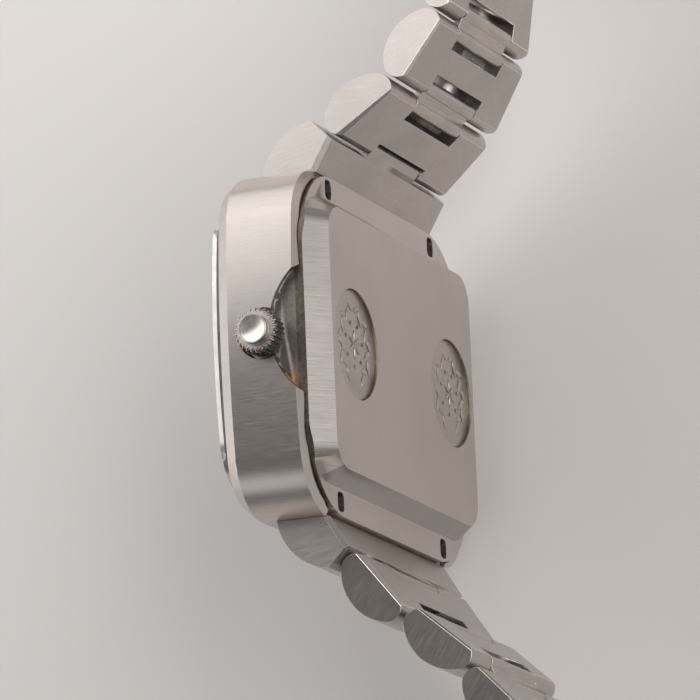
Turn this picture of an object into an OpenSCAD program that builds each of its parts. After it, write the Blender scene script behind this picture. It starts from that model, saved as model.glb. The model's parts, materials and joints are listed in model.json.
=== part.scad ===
// Chronograph watch: a wide cushion case with a raised case back, on a
// tapering steel bracelet whose wide links are joined by two-knuckle connectors.
// Every module works in the watch's own directions: x towards the crown,
// y towards six o'clock, z towards the dial, with z = 0 on the case back's pad.
// At the end the watch is laid on its pusher flank, so the crown points up.

/* [Case] */
// Width of the case, from the crown flank to the pusher flank
case_w = 47; // [46:0.25:49]
// Height of the case, from end piece to end piece
case_h = 36.5; // [36.5:0.25:38.5]
// Radius of the case's corners
case_corner = 6.8; // [6.2:0.1:7.6]
// How far the middle of a flank bows out past its ends
flank_bow = 0.6; // [0.2:0.1:0.9]
// Depth of the flank, from the back rim to the front chamfer
flank_d = 7.7; // [7.6:0.1:8.6]
// How far the front chamfer of a flank reaches in
flank_cham = 1; // [0.6:0.1:1.4]
// How far the back chamfer of a flank reaches in
back_cham = 0.9; // [0.5:0.05:1]
// How far the front slope over a case end reaches in
end_slope = 1.7; // [1.4:0.1:2]
// Height that the front chamfer of a flank rises
front_rise = 1.3; // [1.1:0.1:1.6]
// Height that the back chamfer of a flank rises
back_rise = 0.5; // [0.3:0.05:0.7]
// Height that the front slope over a case end rises
slope_rise = 1.5; // [1.3:0.1:1.8]
// How far below the front face the end pieces meet the case
end_drop = 3; // [2.4:0.1:3.2]
// Radius of the finger cut in the back edge of the crown flank
scallop_r = 8.6; // [8:0.1:9.4]
// Depth of the finger cut, measured from the back rim
scallop_d = 3.2; // [2.4:0.1:3.4]

/* [Case back] */
// Width of the raised pad
pad_w = 40; // [38.5:0.25:40.5]
// Width of the strip between the flat of the pad and a case end
pad_strip = 4.4; // [4.2:0.05:4.8]
// How far the pad stands above the ledge strips
pad_rise = 2.1; // [1.9:0.1:2.3]
// Run of the pad's bevel at its two ends
end_bevel = 1.35; // [0.8:0.05:1.4]
// Radius of the pad's corners
pad_corner = 3; // [2:0.25:4]
// Thickness of the case back's flange
flange_t = 1; // [0.8:0.1:1.2]
// Distance from the edge of the case back to the flank
back_rim_w = 1.25; // [1.15:0.05:1.5]
// Radius of the case back's corners
lid_corner = 8.8; // [8.4:0.1:9]
// Seam between the case back and the case
lid_gap = 0.12; // [0.08:0.02:0.16]
// Diameter of the two round medallion recesses
medal_d = 11.7; // [10:0.1:12.4]
// Distance between the medallion centres
medal_gap = 27; // [25:0.25:27.5]
// Depth of the medallion recesses
medal_depth = 0.4; // [0.3:0.05:0.5]
// Distance between the two access slots of a ledge strip
slot_gap = 28.9; // [27:0.1:29.5]
// Length of an access slot
slot_l = 2.1; // [1.8:0.1:2.4]
// Width of an access slot
slot_w = 1.7; // [1.4:0.05:1.9]

/* [Dial and glass] */
// Width of the dial
dial_w = 34.4; // [33.6:0.1:34.8]
// Room between the dial and a case end
dial_margin = 4.45; // [4.3:0.05:4.8]
// Radius of the dial's corners
dial_corner = 5.4; // [4.5:0.1:6]
// Height of the bezel above the case
bezel_h = 1.05; // [0.9:0.05:1.4]
// Width of the flat land between the case edge and the bezel
bezel_land = 0.35; // [0.25:0.05:0.5]
// Width of that land at the case ends
bezel_end_land = 1.2; // [1:0.1:1.4]
// How far the bezel's side leans in
bezel_lean = 0.3; // [0.2:0.05:0.5]
// Width of the glass gasket
gasket_w = 0.5; // [0.4:0.05:0.6]
// Thickness of the glass
glass_t = 1.9; // [1.6:0.1:2.2]
// Width of the bevel round the glass
glass_bevel = 0.4; // [0.2:0.05:0.6]
// Diameter of a register on the dial
register_d = 8; // [7:0.1:8.6]
// Distance from the dial centre to a register
register_at = 8.2; // [7.9:0.1:8.6]

/* [Movement] */
// Room between the movement and a case end
movement_margin = 3.65; // [3.5:0.05:3.9]
// Diameter of the balance wheel, as a share of the movement's
balance_share = 0.288; // [0.26:0.002:0.3]
// Diameter of the mainspring barrel, as a share of the movement's
barrel_share = 0.356; // [0.33:0.002:0.37]
// Module of the motion work's teeth
tooth_m = 0.1; // [0.09:0.005:0.11]

/* [Crown and pushers] */
// Diameter of the crown over its flutes
crown_d = 4.76; // [4.4:0.02:5]
// Number of flutes on the crown
crown_flutes = 26; // [20:2:32]
// Length of the fluted part
crown_l = 2.5; // [2.2:0.05:2.8]
// Diameter of the crown's raised centre
crown_disc_d = 3.1; // [2.8:0.05:3.4]
// Height of the crown's raised centre
crown_disc_h = 0.7; // [0.4:0.05:0.9]
// How far the crown pulls out to set the hands
crown_travel = 1.2; // [0.8:0.1:1.4]
// Diameter of a pusher's cap
pusher_d = 4.2; // [3.8:0.1:4.4]
// Length of a pusher's cap
pusher_l = 2.6; // [2.5:0.1:3]
// Distance of a pusher from the middle of its flank
pusher_at = 9.5; // [9:0.1:9.8]
// Travel of a pusher
pusher_travel = 0.9; // [0.6:0.05:0.95]

/* [Bracelet] */
// Width of the end pieces
end_w = 33; // [32:0.1:33.2]
// Width of the first link beside the end piece
link_w = 30.2; // [29:0.1:30.8]
// Width of the clasp
clasp_w = 17.2; // [16.8:0.1:19]
// Distance between the two pins of a link
link_pp = 6.3; // [6.2:0.05:6.8]
// Distance between the two pins of a connector
conn_pp = 2.4; // [2.35:0.05:2.6]
// Height of a link's dome above its pins
link_dome = 3.25; // [3:0.05:3.4]
// Depth of a link's flat inner face below its pins
link_flat = 0.85; // [0.82:0.01:0.95]
// Radius of a link's round ends
link_end_r = 1.65; // [1.6:0.01:1.68]
// Width of the connectors
conn_w = 12.8; // [11:0.1:13]
// Radius of the connectors' knuckles
knuckle_r = 0.8; // [0.74:0.01:0.82]
// Radius of the bracelet's pins
pin_r = 0.38; // [0.34:0.01:0.4]
// Radius of the clasp's curve
clasp_r = 34; // [32:0.5:36]

/* [Hidden] */

$fn = 48;
// Steps in the curve of an end piece's outer face
arc_n = 10;
// A cut goes this far past the surface that it opens
over = 1;
// Radial play of a turning shaft
play = 0.04;
// Width of the small bevels on the bracelet's edges
edge_bevel = 0.35;
// Side play of a knuckle in its window, and other loose fits
side_play = 0.1;

// Levels above the pad plane
ledge_z = pad_rise;
rim_z = ledge_z + 0.4;
seat_z = ledge_z + flange_t;
flank_z = rim_z + flank_d;
front_z = flank_z + front_rise;
bezel_z = front_z + bezel_h;
end_z = front_z - end_drop;
crown_z = (rim_z + flank_z) / 2 + 0.05;
plate_top = flank_z - 1.7;
plate_bot = crown_z - 1;
dial_z = plate_top + 0.1;
dial_t = 0.4;
dial_top = dial_z + dial_t;
bridge_z = 1.5;
bridge_t = 1.2;

// Half sizes
half_w = case_w / 2;
half_h = case_h / 2;
pad_h = case_h - 2 * pad_strip;
dial_h = case_h - 2 * dial_margin;
movement_d = case_h - 2 * movement_margin;
balance_d = balance_share * movement_d;
barrel_d = barrel_share * movement_d;
cavity_r = movement_d / 2 + 0.6;
lid_w = case_w - 2 * back_rim_w;
lid_h = case_h - 0.4;
pad_side_run = (lid_w - pad_w) / 2;
glass_w = dial_w - 1.6;
glass_h = dial_h - 1.6;
glass_corner = dial_corner - 0.6;
glass_z = front_z - 0.2;
collar_z = front_z - 0.9;

// Crown and pushers
crown_base = half_w - 0.5;
crown_front = crown_base + crown_l;
tube_r = 1.2;
tube_bore = 0.66;
stem_r = tube_bore - 0.06;
tube_in = cavity_r + 0.5;
bore_floor = half_w - 0.9;
pusher_front = half_w + pusher_l - 0.2;
pusher_tube_r = 1.1;
pusher_stem_r = 0.7;
pusher_x_in = sqrt(cavity_r * cavity_r - pusher_at * pusher_at);

// Middle of the access slots on a ledge strip
slot_y = (pad_h / 2 + end_bevel + lid_h / 2) / 2 - 0.05;

// Places on the movement
barrel_place = movement_d * [-0.192, 0.219];
balance_place = movement_d * [0.185, -0.26];
wheel_place = [0, 24 * tooth_m];
pillars = movement_d * [[0.411, 0], [-0.411, -0.068], [0.068, 0.411], [-0.205, -0.377]];
barrel_arbor_r = 0.8;
balance_arbor_r = 0.2;
pillar_r = 1.1;
// Where the setting lever grips the stem
lever_x = 7;

// Motion work: cannon pinion 12, minute wheel 36 with pinion 10, hour wheel 40
pinion_m = 24 / 25 * tooth_m;
wheel_z = plate_top - 0.8;
cannon_r = 0.45;
hour_pipe_r = 0.85;
centre_r = 0.2;

// Hand levels
small_hand_z = dial_top + 0.1;
hour_z = dial_top + 0.45;
minute_z = hour_z + 0.4;
chrono_z = minute_z + 0.4;
hand_t = 0.15;

// Ends of the case and the spring bars
recess_y = cavity_r + 0.8;
recess_top = seat_z + 3.7;
bar_r = 0.75;
bar_y = (recess_y + half_h) / 2;
bar_z = seat_z + 1.9;
bar_half = end_w / 2 + 0.9;
end_seat = half_h;

// The end piece's outline: dial side, tip and inner corner
end_tip = [end_seat + 5.45, 2.9];
end_corner = [end_seat + 3.3, 0.8];
first_pin = [end_seat + 4.7, 0.5];

// Windows that take the knuckles
window_w = conn_w + 2 * side_play;
window_in = 1.65;
window_roof = knuckle_r + 0.15;
pin_half = window_w / 2 + 1.5;
tongue_r = knuckle_r - 0.1;
link_count = 4;

// A link's round ends: how far in and how high their centres sit
end_in = link_end_r - 0.95;
end_up = 0.6;

// Clasp: its cover and blades curve about one axis, below the cover's pin.
// Angles are counted round that axis from the pin.
clasp_wall = 0.8;
clasp_span = 64;
cover_t = 0.9;
cover_start = 1.5;
cover_end = clasp_span + 2.5;
wall_start = -1.8;
wall_end = clasp_span + 2;
clasp_drop = clasp_r - link_flat - 1.1;
outer_blade_r = clasp_r - 2.6;
inner_blade_r = clasp_r - 4.3;
blade_t = 0.7;
blade_w = clasp_w - 2 * clasp_wall - 0.4;
ear_w = 2;
ear_span = 1.2;
hinge_r = 0.8;
hinge_pin = 0.4;
fold_start = 9;
strap_end = clasp_span - 2;
strap_boss_r = 1;

// The way the two strands lie: each piece's slope away from the case
six_lie = [51.5, 42.5, 34, 25, 12.5, 16, 22, 30, 36];
twelve_lie = [34.5, 66, 48, 23, 42, 50, 56];

// Points of a bowed line from p to q that swells s to its left
function bow_points(p, q, s, n) =
    let (c = norm(q - p), r = (c * c / 4 + s * s) / (2 * s), d = (q - p) / c)
    let (m = (p + q) / 2 + [-d[1], d[0]] * (s - r), a = asin(c / 2 / r))
    let (b = atan2(d[0], -d[1]))
    [for (i = [0 : n]) m + r * [cos(b + a - 2 * a * i / n), sin(b + a - 2 * a * i / n)]];

// Outline of a wheel with n straight-sided teeth
function tooth_points(n, root, tip, land) = [
    for (i = [0 : n - 1], k = [-1, 1], e = [0, 1])
        let (a = 360 / n * (i + k * (e == (k < 0 ? 0 : 1) ? 0.5 - land : land * 0.6)))
        let (r = e == (k < 0 ? 0 : 1) ? root : tip)
        [r * cos(a), r * sin(a)]
];

// Place of pin i along a strand, counted from the end piece
function pin_place(lie, i) = i == 0 ? first_pin :
    pin_place(lie, i - 1) + (i % 2 == 1 ? link_pp : conn_pp) * [cos(lie[i - 1]), -sin(lie[i - 1])];

// Width of the strand where link k begins
function strand_w(k) = link_w + (clasp_w - link_w) * k / link_count;

// Extrusion across the watch, of an outline given in y and z
module along_x(w) rotate([90, 0, 90]) linear_extrude(w, center = true) children();

// Extrusion along the watch, of an outline given in x and z
module along_y(w) rotate([90, 0, 0]) linear_extrude(w, center = true) children();

// Round bar or bore along x, between two places
module bar_x(x0, x1, r) translate([x0, 0, 0]) rotate([0, 90, 0]) cylinder(h = x1 - x0, r = r);

// Rectangle with round corners
module rr(w, h, r) {
    square([w - 2 * r, h], center = true);
    square([w, h - 2 * r], center = true);
    for (s = [-1, 1], e = [-1, 1]) translate([s * (w / 2 - r), e * (h / 2 - r)]) circle(r, $fn = 96);
}

module slab(z0, z1) translate([0, 0, z0]) linear_extrude(z1 - z0) children();

// Where a cushion's arcs lie: [corner y, bow radius, bow x, corner x, angle where they meet]
function cushion_arcs(w, h, r, bow) =
    let (cy = h / 2 - r, br = (cy * cy + bow * bow) / (2 * bow), bx = w / 2 - br)
    let (cx = bx + sqrt(pow(br - r, 2) - cy * cy))
    [cy, br, bx, cx, atan2(cy, cx - bx)];

// Cushion outline: flanks that bow out and run smoothly into the round corners
module cushion(w, h, r, bow) {
    arcs = cushion_arcs(w, h, r, bow);
    meet = [arcs[2] + arcs[1] * cos(arcs[4]), arcs[1] * sin(arcs[4])];
    for (s = [-1, 1]) scale_x(s) {
        polygon([[0, -h / 2], [arcs[3], -h / 2], [meet[0], -meet[1]], meet, [arcs[3], h / 2], [0, h / 2]]);
        for (e = [-1, 1]) translate([arcs[3], e * arcs[0]]) circle(r, $fn = 96);
        intersection() {
            translate([arcs[2], 0]) circle(arcs[1], $fn = 240);
            translate([0, -meet[1]]) square([w, 2 * meet[1]]);
        }
    }
}

// Cuts an edge slope round a cushion's flanks and corners: it leaves the outline
// at level za and has come in by "run" at level zb
module edge_slope(w, h, r, bow, run, za, zb) {
    arcs = cushion_arcs(w, h, r, bow);
    z0 = min(rim_z, za, zb) - over;
    z1 = max(za, zb, front_z) + over;
    in0 = run * (z0 - za) / (zb - za);
    in1 = run * (z1 - za) / (zb - za);
    intersection() {
        children();
        translate([arcs[2], 0, 0]) rotate_extrude($fn = 240)
            polygon([[0, z0], [arcs[1] - in0, z0], [arcs[1] - in1, z1], [0, z1]]);
        translate([-arcs[2], 0, 0]) rotate_extrude($fn = 240)
            polygon([[0, z0], [arcs[1] - in0, z0], [arcs[1] - in1, z1], [0, z1]]);
        corner_planes(arcs, r, z0, z1, in0, in1, 18);
        corner_planes(arcs, r, z0, z1, in0, in1, 30);
        corner_planes(arcs, r, z0, z1, in0, in1, 42);
        corner_planes(arcs, r, z0, z1, in0, in1, 54);
        corner_planes(arcs, r, z0, z1, in0, in1, 66);
        corner_planes(arcs, r, z0, z1, in0, in1, 78);
    }
}

// The slope's planes at the four places that lie "turn" degrees round a corner
module corner_planes(arcs, r, z0, z1, in0, in1, turn) {
    reach = arcs[3] * cos(turn) + arcs[0] * sin(turn) + r;
    intersection() {
        rotate([0, 0, turn]) slope_plane(reach, z0, z1, in0, in1);
        rotate([0, 0, -turn]) slope_plane(reach, z0, z1, in0, in1);
    }
}

module slope_plane(reach, z0, z1, in0, in1) along_y(3 * case_w)
    polygon([[in0 - reach, z0], [reach - in0, z0], [reach - in1, z1], [in1 - reach, z1]]);

// Mirrors its children in x when s is negative
module scale_x(s) mirror([s < 0 ? 1 : 0, 0, 0]) children();

// The case's solid outer form, with its chamfers
module case_form() intersection() {
    edge_slope(case_w, case_h, case_corner, flank_bow, flank_cham, flank_z, front_z)
        edge_slope(case_w, case_h, case_corner, flank_bow, back_cham, rim_z + back_rise, rim_z)
            slab(rim_z, front_z) cushion(case_w, case_h, case_corner, flank_bow);
    along_x(2 * case_w) polygon([
        [-half_h + back_cham, rim_z], [half_h - back_cham, rim_z],
        [half_h, rim_z + back_rise], [half_h, front_z - slope_rise], [half_h - end_slope, front_z],
        [end_slope - half_h, front_z], [-half_h, front_z - slope_rise], [-half_h, rim_z + back_rise]
    ]);
}

module case_middle() color("#b9b3ad") difference() {
    case_form();
    // Cavity, dial seat and the seat of the case back
    slab(rim_z - over, plate_top) circle(cavity_r, $fn = 96);
    slab(plate_top, front_z + over) rr(dial_w + 0.2, dial_h + 0.2, dial_corner);
    slab(rim_z - over, seat_z) rr(lid_w + 2 * lid_gap, case_h + 0.1, lid_corner + lid_gap);
    // Groove of the back gasket
    slab(seat_z - over, seat_z + 0.5) difference() {
        circle(cavity_r + 0.7, $fn = 96);
        circle(cavity_r - over);
    }
    // Recess at each case end, with the holes of the spring bar
    for (s = [-1, 1]) {
        translate([0, s * (recess_y + case_h) / 2, (seat_z + recess_top) / 2 - 0.25])
            cube([end_w + 0.1, case_h - recess_y, recess_top - seat_z + 0.5], center = true);
        translate([0, s * bar_y, bar_z]) bar_x(-bar_half, bar_half, bar_r - 0.25);
    }
    // Crown bore and finger cut
    translate([0, 0, crown_z]) {
        bar_x(bore_floor, half_w + over, crown_d / 2 + 0.35);
        bar_x(cavity_r - over, half_w, tube_r);
    }
    translate([0, 0.3, rim_z + scallop_d - scallop_r])
        bar_x(lid_w / 2, half_w + over, scallop_r, $fn = 96);
    // Pusher bores
    for (s = [-1, 1]) translate([0, s * pusher_at, crown_z]) {
        bar_x(-half_w - over, -bore_floor, pusher_d / 2 + 0.25);
        bar_x(-half_w, -pusher_x_in + 0.6, pusher_tube_r);
    }
}

module bezel() color("#d8d5d0") difference() {
    bw = case_w - 2 * (flank_cham + bezel_land);
    bh = case_h - 2 * (end_slope + bezel_end_land);
    br = case_corner - flank_cham;
    union() {
        edge_slope(bw, bh, br, flank_bow, bezel_lean, front_z, bezel_z)
            slab(front_z, bezel_z) cushion(bw, bh, br, flank_bow);
        slab(collar_z, front_z + 0.1) rr(dial_w + 0.1, dial_h + 0.1, dial_corner);
    }
    slab(collar_z - over, bezel_z + over)
        rr(glass_w + 2 * gasket_w, glass_h + 2 * gasket_w, glass_corner + gasket_w);
}

module crystal_gasket() color("#26241f") difference() {
    slab(collar_z, bezel_z - 0.3)
        rr(glass_w + 2 * gasket_w, glass_h + 2 * gasket_w, glass_corner + gasket_w);
    slab(collar_z - over, bezel_z + over) rr(glass_w, glass_h, glass_corner);
}

// Flat glass with a bevel round its outer face
module crystal() color("#dfe8ea") {
    top = glass_z + glass_t;
    low = top - glass_bevel;
    x = glass_w / 2;
    y = glass_h / 2;
    intersection() {
        slab(glass_z, top) rr(glass_w, glass_h, glass_corner);
        along_y(2 * case_h) polygon([
            [-x, glass_z], [x, glass_z], [x, low],
            [x - glass_bevel, top], [glass_bevel - x, top], [-x, low]
        ]);
        along_x(2 * case_w) polygon([
            [-y, glass_z], [y, glass_z], [y, low],
            [y - glass_bevel, top], [glass_bevel - y, top], [-y, low]
        ]);
    }
}

module flange_ring() color("#33312e") difference() {
    slab(dial_top, collar_z) rr(dial_w + 0.1, dial_h + 0.1, dial_corner);
    slab(dial_top - over, collar_z + over) rr(glass_w - 0.6, glass_h - 0.6, glass_corner - 0.3);
}

module dial() color("#2c3038") difference() {
    slab(dial_z, dial_top) rr(dial_w, dial_h, dial_corner);
    slab(dial_z - over, dial_top + over) circle(1.05);
    for (s = [-1, 1]) translate([s * register_at, 0, 0]) {
        slab(dial_top - 0.12, dial_top + over) circle(register_d / 2);
        slab(dial_z - over, dial_top) circle(0.32);
    }
}

// Ten batons set on a rectangle round the dial's edge, with none at the two registers
module hour_markers() color("#e3dfd6") for (h = [0 : 11]) if (h % 6 != 3) {
    a = 30 * h;
    reach_x = glass_w / 2 - 2.8;
    reach_y = glass_h / 2 - 2.5;
    along_sin = max(abs(sin(a)), 0.01);
    along_cos = max(abs(cos(a)), 0.01);
    t = min(reach_x / along_sin, reach_y / along_cos);
    translate([t * sin(a), t * cos(a), dial_top + 0.15]) rotate([0, 0, -a])
        cube([h % 3 == 0 ? 1.3 : 0.8, 2.4, 0.3], center = true);
}

module movement_ring() color("#8f8a80") difference() {
    slab(seat_z + 0.6, plate_top) circle(cavity_r - 0.05, $fn = 96);
    slab(seat_z, plate_top + over) circle(movement_d / 2, $fn = 96);
    translate([0, 0, crown_z]) bar_x(0, cavity_r + over, tube_bore + 0.2);
    // Notches for the inner ends of the pushers
    for (s = [-1, 1]) translate([0, s * pusher_at, crown_z])
        bar_x(-cavity_r - over, 1.5 - pusher_x_in, pusher_tube_r + 0.15);
}

module main_plate() color("#c9b68a") difference() {
    slab(plate_bot, plate_top) circle(movement_d / 2, $fn = 96);
    // Channel of the winding stem and its lever
    translate([0, 0, crown_z]) bar_x(lever_x - 2, movement_d, stem_r + 0.15);
    translate([lever_x - 0.3, -1.5, plate_bot - over])
        cube([crown_travel + 1.3, 3, crown_z + 0.5 - plate_bot + 2 * over]);
    // Well of the motion work and its post hole
    slab(plate_top - 1, plate_top + over) {
        circle(2.3);
        translate(wheel_place) circle(2.2);
    }
    slab(plate_bot - over, plate_top) circle(0.3);
    slab(plate_top - 2, plate_top) translate(wheel_place) circle(0.25);
    for (s = [-1, 1]) translate([s * register_at, 0, 0])
        slab(plate_top - 1.3, plate_top + over) circle(0.22);
    slab(plate_bot - over, plate_bot + 0.8) {
        translate(barrel_place) circle(barrel_arbor_r + play);
        translate(balance_place) circle(balance_arbor_r + play);
    }
}

module movement_bridge() color("#b8b2a4") {
    difference() {
        slab(bridge_z, bridge_z + bridge_t) circle(movement_d / 2 - 0.8, $fn = 96);
        slab(bridge_z - over, bridge_z + 2 * bridge_t) {
            translate(barrel_place) circle(barrel_arbor_r + play);
            translate(balance_place) circle(balance_arbor_r + play);
            circle(0.3);
        }
    }
    for (p = pillars) translate(p) slab(bridge_z + bridge_t, plate_bot) circle(pillar_r);
}

module mainspring_barrel() color("#cfae5e") translate(barrel_place) {
    slab(bridge_z + bridge_t + 0.2, plate_bot - 0.2) circle(barrel_d / 2);
    slab(bridge_z + 0.2, plate_bot + 0.7) circle(barrel_arbor_r);
}

module balance_wheel() color("#c79b4a") translate(balance_place) {
    mid = (bridge_z + bridge_t + plate_bot) / 2;
    slab(mid - 0.25, mid + 0.25) difference() {
        circle(balance_d / 2);
        circle(balance_d / 2 - 0.7);
    }
    translate([0, 0, mid]) cube([balance_d - 1, 0.8, 0.4], center = true);
    slab(bridge_z + 0.3, plate_bot + 0.7) circle(balance_arbor_r);
}

// Flat outline of a gear wheel of n teeth and module m
module spur(n, m, shift) rotate([0, 0, shift])
    polygon(tooth_points(n, n * m / 2 - 1.25 * m, n * m / 2 + 0.9 * m, 0.2));

module cannon_pinion() color("#b9b3ad") difference() {
    union() {
        slab(wheel_z, wheel_z + 0.3) spur(12, tooth_m, 0);
        slab(wheel_z, minute_z) circle(cannon_r);
    }
    slab(wheel_z - over, minute_z + over) circle(centre_r + 0.05);
}

module minute_wheel() color("#cfae5e") translate(wheel_place) {
    slab(wheel_z, wheel_z + 0.3) spur(36, tooth_m, 5);
    slab(wheel_z + 0.3, wheel_z + 0.7) spur(10, pinion_m, 0);
    slab(wheel_z - 0.7, wheel_z) circle(0.2);
}

module hour_wheel() color("#cfae5e") difference() {
    union() {
        slab(wheel_z + 0.4, wheel_z + 0.7) spur(40, pinion_m, 0);
        slab(wheel_z + 0.4, hour_z) circle(hour_pipe_r);
    }
    slab(wheel_z, hour_z + over) circle(cannon_r + play);
}

// A baton hand that points to twelve, with a tail and a boss
module baton(l, w, tail, boss) union() {
    translate([-w / 2, -l]) square([w, l + tail]);
    circle(boss);
}

module hour_hand() color("#ece9e2") rotate([0, 0, 55]) difference() {
    slab(hour_z, hour_z + hand_t) baton(0.29 * dial_h, 1.3, 1.8, 1.2);
    slab(hour_z - over, hour_z + over) circle(cannon_r + play);
}

module minute_hand() color("#ece9e2") rotate([0, 0, -60]) difference() {
    slab(minute_z, minute_z + hand_t) baton(0.42 * dial_h, 1, 2, 0.9);
    slab(minute_z - over, minute_z + over) circle(centre_r + 0.05);
}

module chrono_seconds_hand() color("#d8642c") {
    slab(chrono_z, chrono_z + hand_t) baton(0.44 * dial_h, 0.4, 3.4, 0.7);
    slab(plate_bot + 0.4, chrono_z) circle(centre_r);
}

module small_hand(s, turn) translate([s * register_at, 0, 0]) {
    slab(small_hand_z, small_hand_z + hand_t) rotate([0, 0, turn]) baton(register_d / 2 - 0.5, 0.4, 1, 0.5);
    slab(plate_top - 1.2, small_hand_z) circle(0.17);
}

module running_seconds_hand() color("#ece9e2") small_hand(1, 200);
module minute_counter_hand() color("#ece9e2") small_hand(-1, 0);

// The pad's slopes that face "turn" degrees away from its two sides
module pad_slopes(turn) {
    reach = (pad_w / 2 - pad_corner) * cos(turn) + (pad_h / 2 - pad_corner) * sin(turn) + pad_corner;
    run = pad_side_run * pow(cos(turn), 2) + end_bevel * pow(sin(turn), 2);
    lean = run / ledge_z;
    intersection() {
        rotate([0, 0, turn])
            slope_plane(reach, -over, ledge_z + 2 * over, lean * over, -lean * (ledge_z + 2 * over));
        rotate([0, 0, -turn])
            slope_plane(reach, -over, ledge_z + 2 * over, lean * over, -lean * (ledge_z + 2 * over));
    }
}

module case_back() color("#a9a39c") difference() {
    union() {
        slab(ledge_z, seat_z) rr(lid_w, lid_h, lid_corner);
        // The pad: side bevels down to the edge, end bevels down to the ledges
        intersection() {
            slab(0, seat_z) rr(lid_w, lid_h, lid_corner);
            intersection_for(turn = [0 : 10 : 90]) pad_slopes(turn);
        }
    }
    // Room for the movement
    slab(bridge_z - 0.4, seat_z + over) circle(movement_d / 2 - 0.5, $fn = 96);
    // Medallion recesses
    for (s = [-1, 1]) translate([s * medal_gap / 2, 0, 0]) slab(-over, medal_depth) circle(medal_d / 2);
    // Access slots over the spring bars
    for (s = [-1, 1], e = [-1, 1]) translate([s * slot_gap / 2, e * slot_y, 0])
        slab(ledge_z - over, seat_z + over) rr(slot_w, slot_l, slot_w / 3);
}

module back_gasket() color("#26241f") slab(seat_z, seat_z + 0.5) difference() {
    circle(cavity_r + 0.65, $fn = 96);
    circle(cavity_r + 0.1, $fn = 96);
}

module crown() color("#cbc7c1") translate([0, 0, crown_z]) difference() {
    union() {
        rotate([90, 0, 90]) slab(crown_base, crown_front)
            polygon(tooth_points(crown_flutes, crown_d / 2 - 0.22, crown_d / 2, 0.24));
        bar_x(crown_front, crown_front + crown_disc_h, crown_disc_d / 2);
    }
    // Dished centre, room for the tube and the stem's seat
    translate([crown_front + crown_disc_h + 3.8, 0, 0]) sphere(4, $fn = 96);
    bar_x(crown_base - over, crown_front - 0.9, tube_r + 0.08);
    bar_x(crown_base, crown_front - 0.3, stem_r);
}

module winding_stem() color("#9a958d") translate([0, 0, crown_z]) difference() {
    bar_x(lever_x - 1, crown_front - 0.3, stem_r);
    // Groove of the setting lever
    difference() {
        bar_x(lever_x, lever_x + 0.6, stem_r + over);
        bar_x(lever_x - over, lever_x + over, stem_r - 0.2);
    }
}

module setting_lever() color("#9a958d") translate([0, 0, crown_z]) difference() {
    translate([lever_x + 0.05, -1.3, plate_bot - crown_z + 0.05])
        cube([0.5, 2.6, crown_z + 0.35 - plate_bot]);
    bar_x(lever_x - over, lever_x + over, stem_r - 0.2 + play);
}

module crown_tube() color("#b9b3ad") translate([0, 0, crown_z]) difference() {
    bar_x(tube_in, crown_front - 1.3, tube_r);
    bar_x(tube_in - over, crown_front, tube_bore);
}

// A pusher: cap, stem and the clip that holds it in
module pusher() translate([0, 0, crown_z]) {
    difference() {
        bar_x(-pusher_front, -half_w - pusher_travel + 0.4, pusher_d / 2);
        bar_x(-pusher_front + 0.8, -half_w + over, pusher_d / 2 - 0.35);
    }
    bar_x(-pusher_front + 0.5, -pusher_x_in - 0.95, pusher_stem_r);
    bar_x(-pusher_x_in - 1.6, -pusher_x_in - 1.3, pusher_tube_r - 0.1);
}

module pusher_spring() translate([0, 0, crown_z]) difference() {
    bar_x(-pusher_front + 0.8, -bore_floor - 0.3, 1.45);
    bar_x(-pusher_front, -bore_floor + over, 1.2);
}

module start_pusher() color("#cbc7c1") translate([0, -pusher_at, 0]) pusher();
module reset_pusher() color("#cbc7c1") translate([0, pusher_at, 0]) pusher();
module start_pusher_spring() color("#8a867f") translate([0, -pusher_at, 0]) pusher_spring();
module reset_pusher_spring() color("#8a867f") translate([0, pusher_at, 0]) pusher_spring();

module pusher_tubes() color("#b9b3ad")
for (s = [-1, 1]) translate([0, s * pusher_at, crown_z]) difference() {
    union() {
        bar_x(-bore_floor, -pusher_x_in - 1.8, pusher_tube_r);
        bar_x(-bore_floor - 0.3, -bore_floor, 1.6);
    }
    bar_x(-half_w, -pusher_x_in, pusher_stem_r + 0.05);
}

// An end piece at the six o'clock end: its block, its tenon in the case and its tongue
module end_piece() difference() {
    union() {
        along_x(end_w) polygon(concat(
            [[end_seat, rim_z + 0.25], end_corner],
            bow_points(end_tip, [end_seat, end_z], -1.35, arc_n)
        ));
        translate([0, (recess_y + end_seat + over) / 2 + 0.05, (seat_z + recess_top) / 2])
            cube([end_w - 0.1, end_seat - recess_y + over - 0.1, recess_top - seat_z - 0.2], center = true);
        tongue();
    }
    translate([0, bar_y, bar_z]) bar_x(-end_w, end_w, bar_r + play);
    // Bevels between the side faces and the inner face
    inner = end_corner - [end_seat, rim_z + 0.25];
    for (s = [-1, 1]) translate([s * end_w / 2, end_corner[0], end_corner[1]])
        rotate([atan2(inner[1], inner[0]), 0, 0]) rotate([0, 45, 0])
            cube([2 * edge_bevel, 3 * norm(inner), 2 * edge_bevel], center = true);
    // Notches that let the access slots reach the spring bar
    for (s = [-1, 1]) translate([s * slot_gap / 2, bar_y - 0.4, bar_z - 1])
        cube([slot_w + 0.4, end_seat - recess_y, 2], center = true);
    translate([0, first_pin[0], first_pin[1]]) bar_x(-conn_w, conn_w, pin_r + play);
}

// The tongue that carries the first link
module tongue() {
    along_x(conn_w) translate(first_pin) circle(tongue_r);
    d = (end_tip - end_corner) / norm(end_tip - end_corner);
    foot = end_corner + d * ((first_pin - end_corner) * d);
    n = (first_pin - foot) / norm(first_pin - foot);
    along_x(conn_w) polygon([
        first_pin + d * tongue_r, first_pin - d * tongue_r,
        foot - d * tongue_r - n * tongue_r, foot + d * tongue_r - n * tongue_r
    ]);
}

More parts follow.
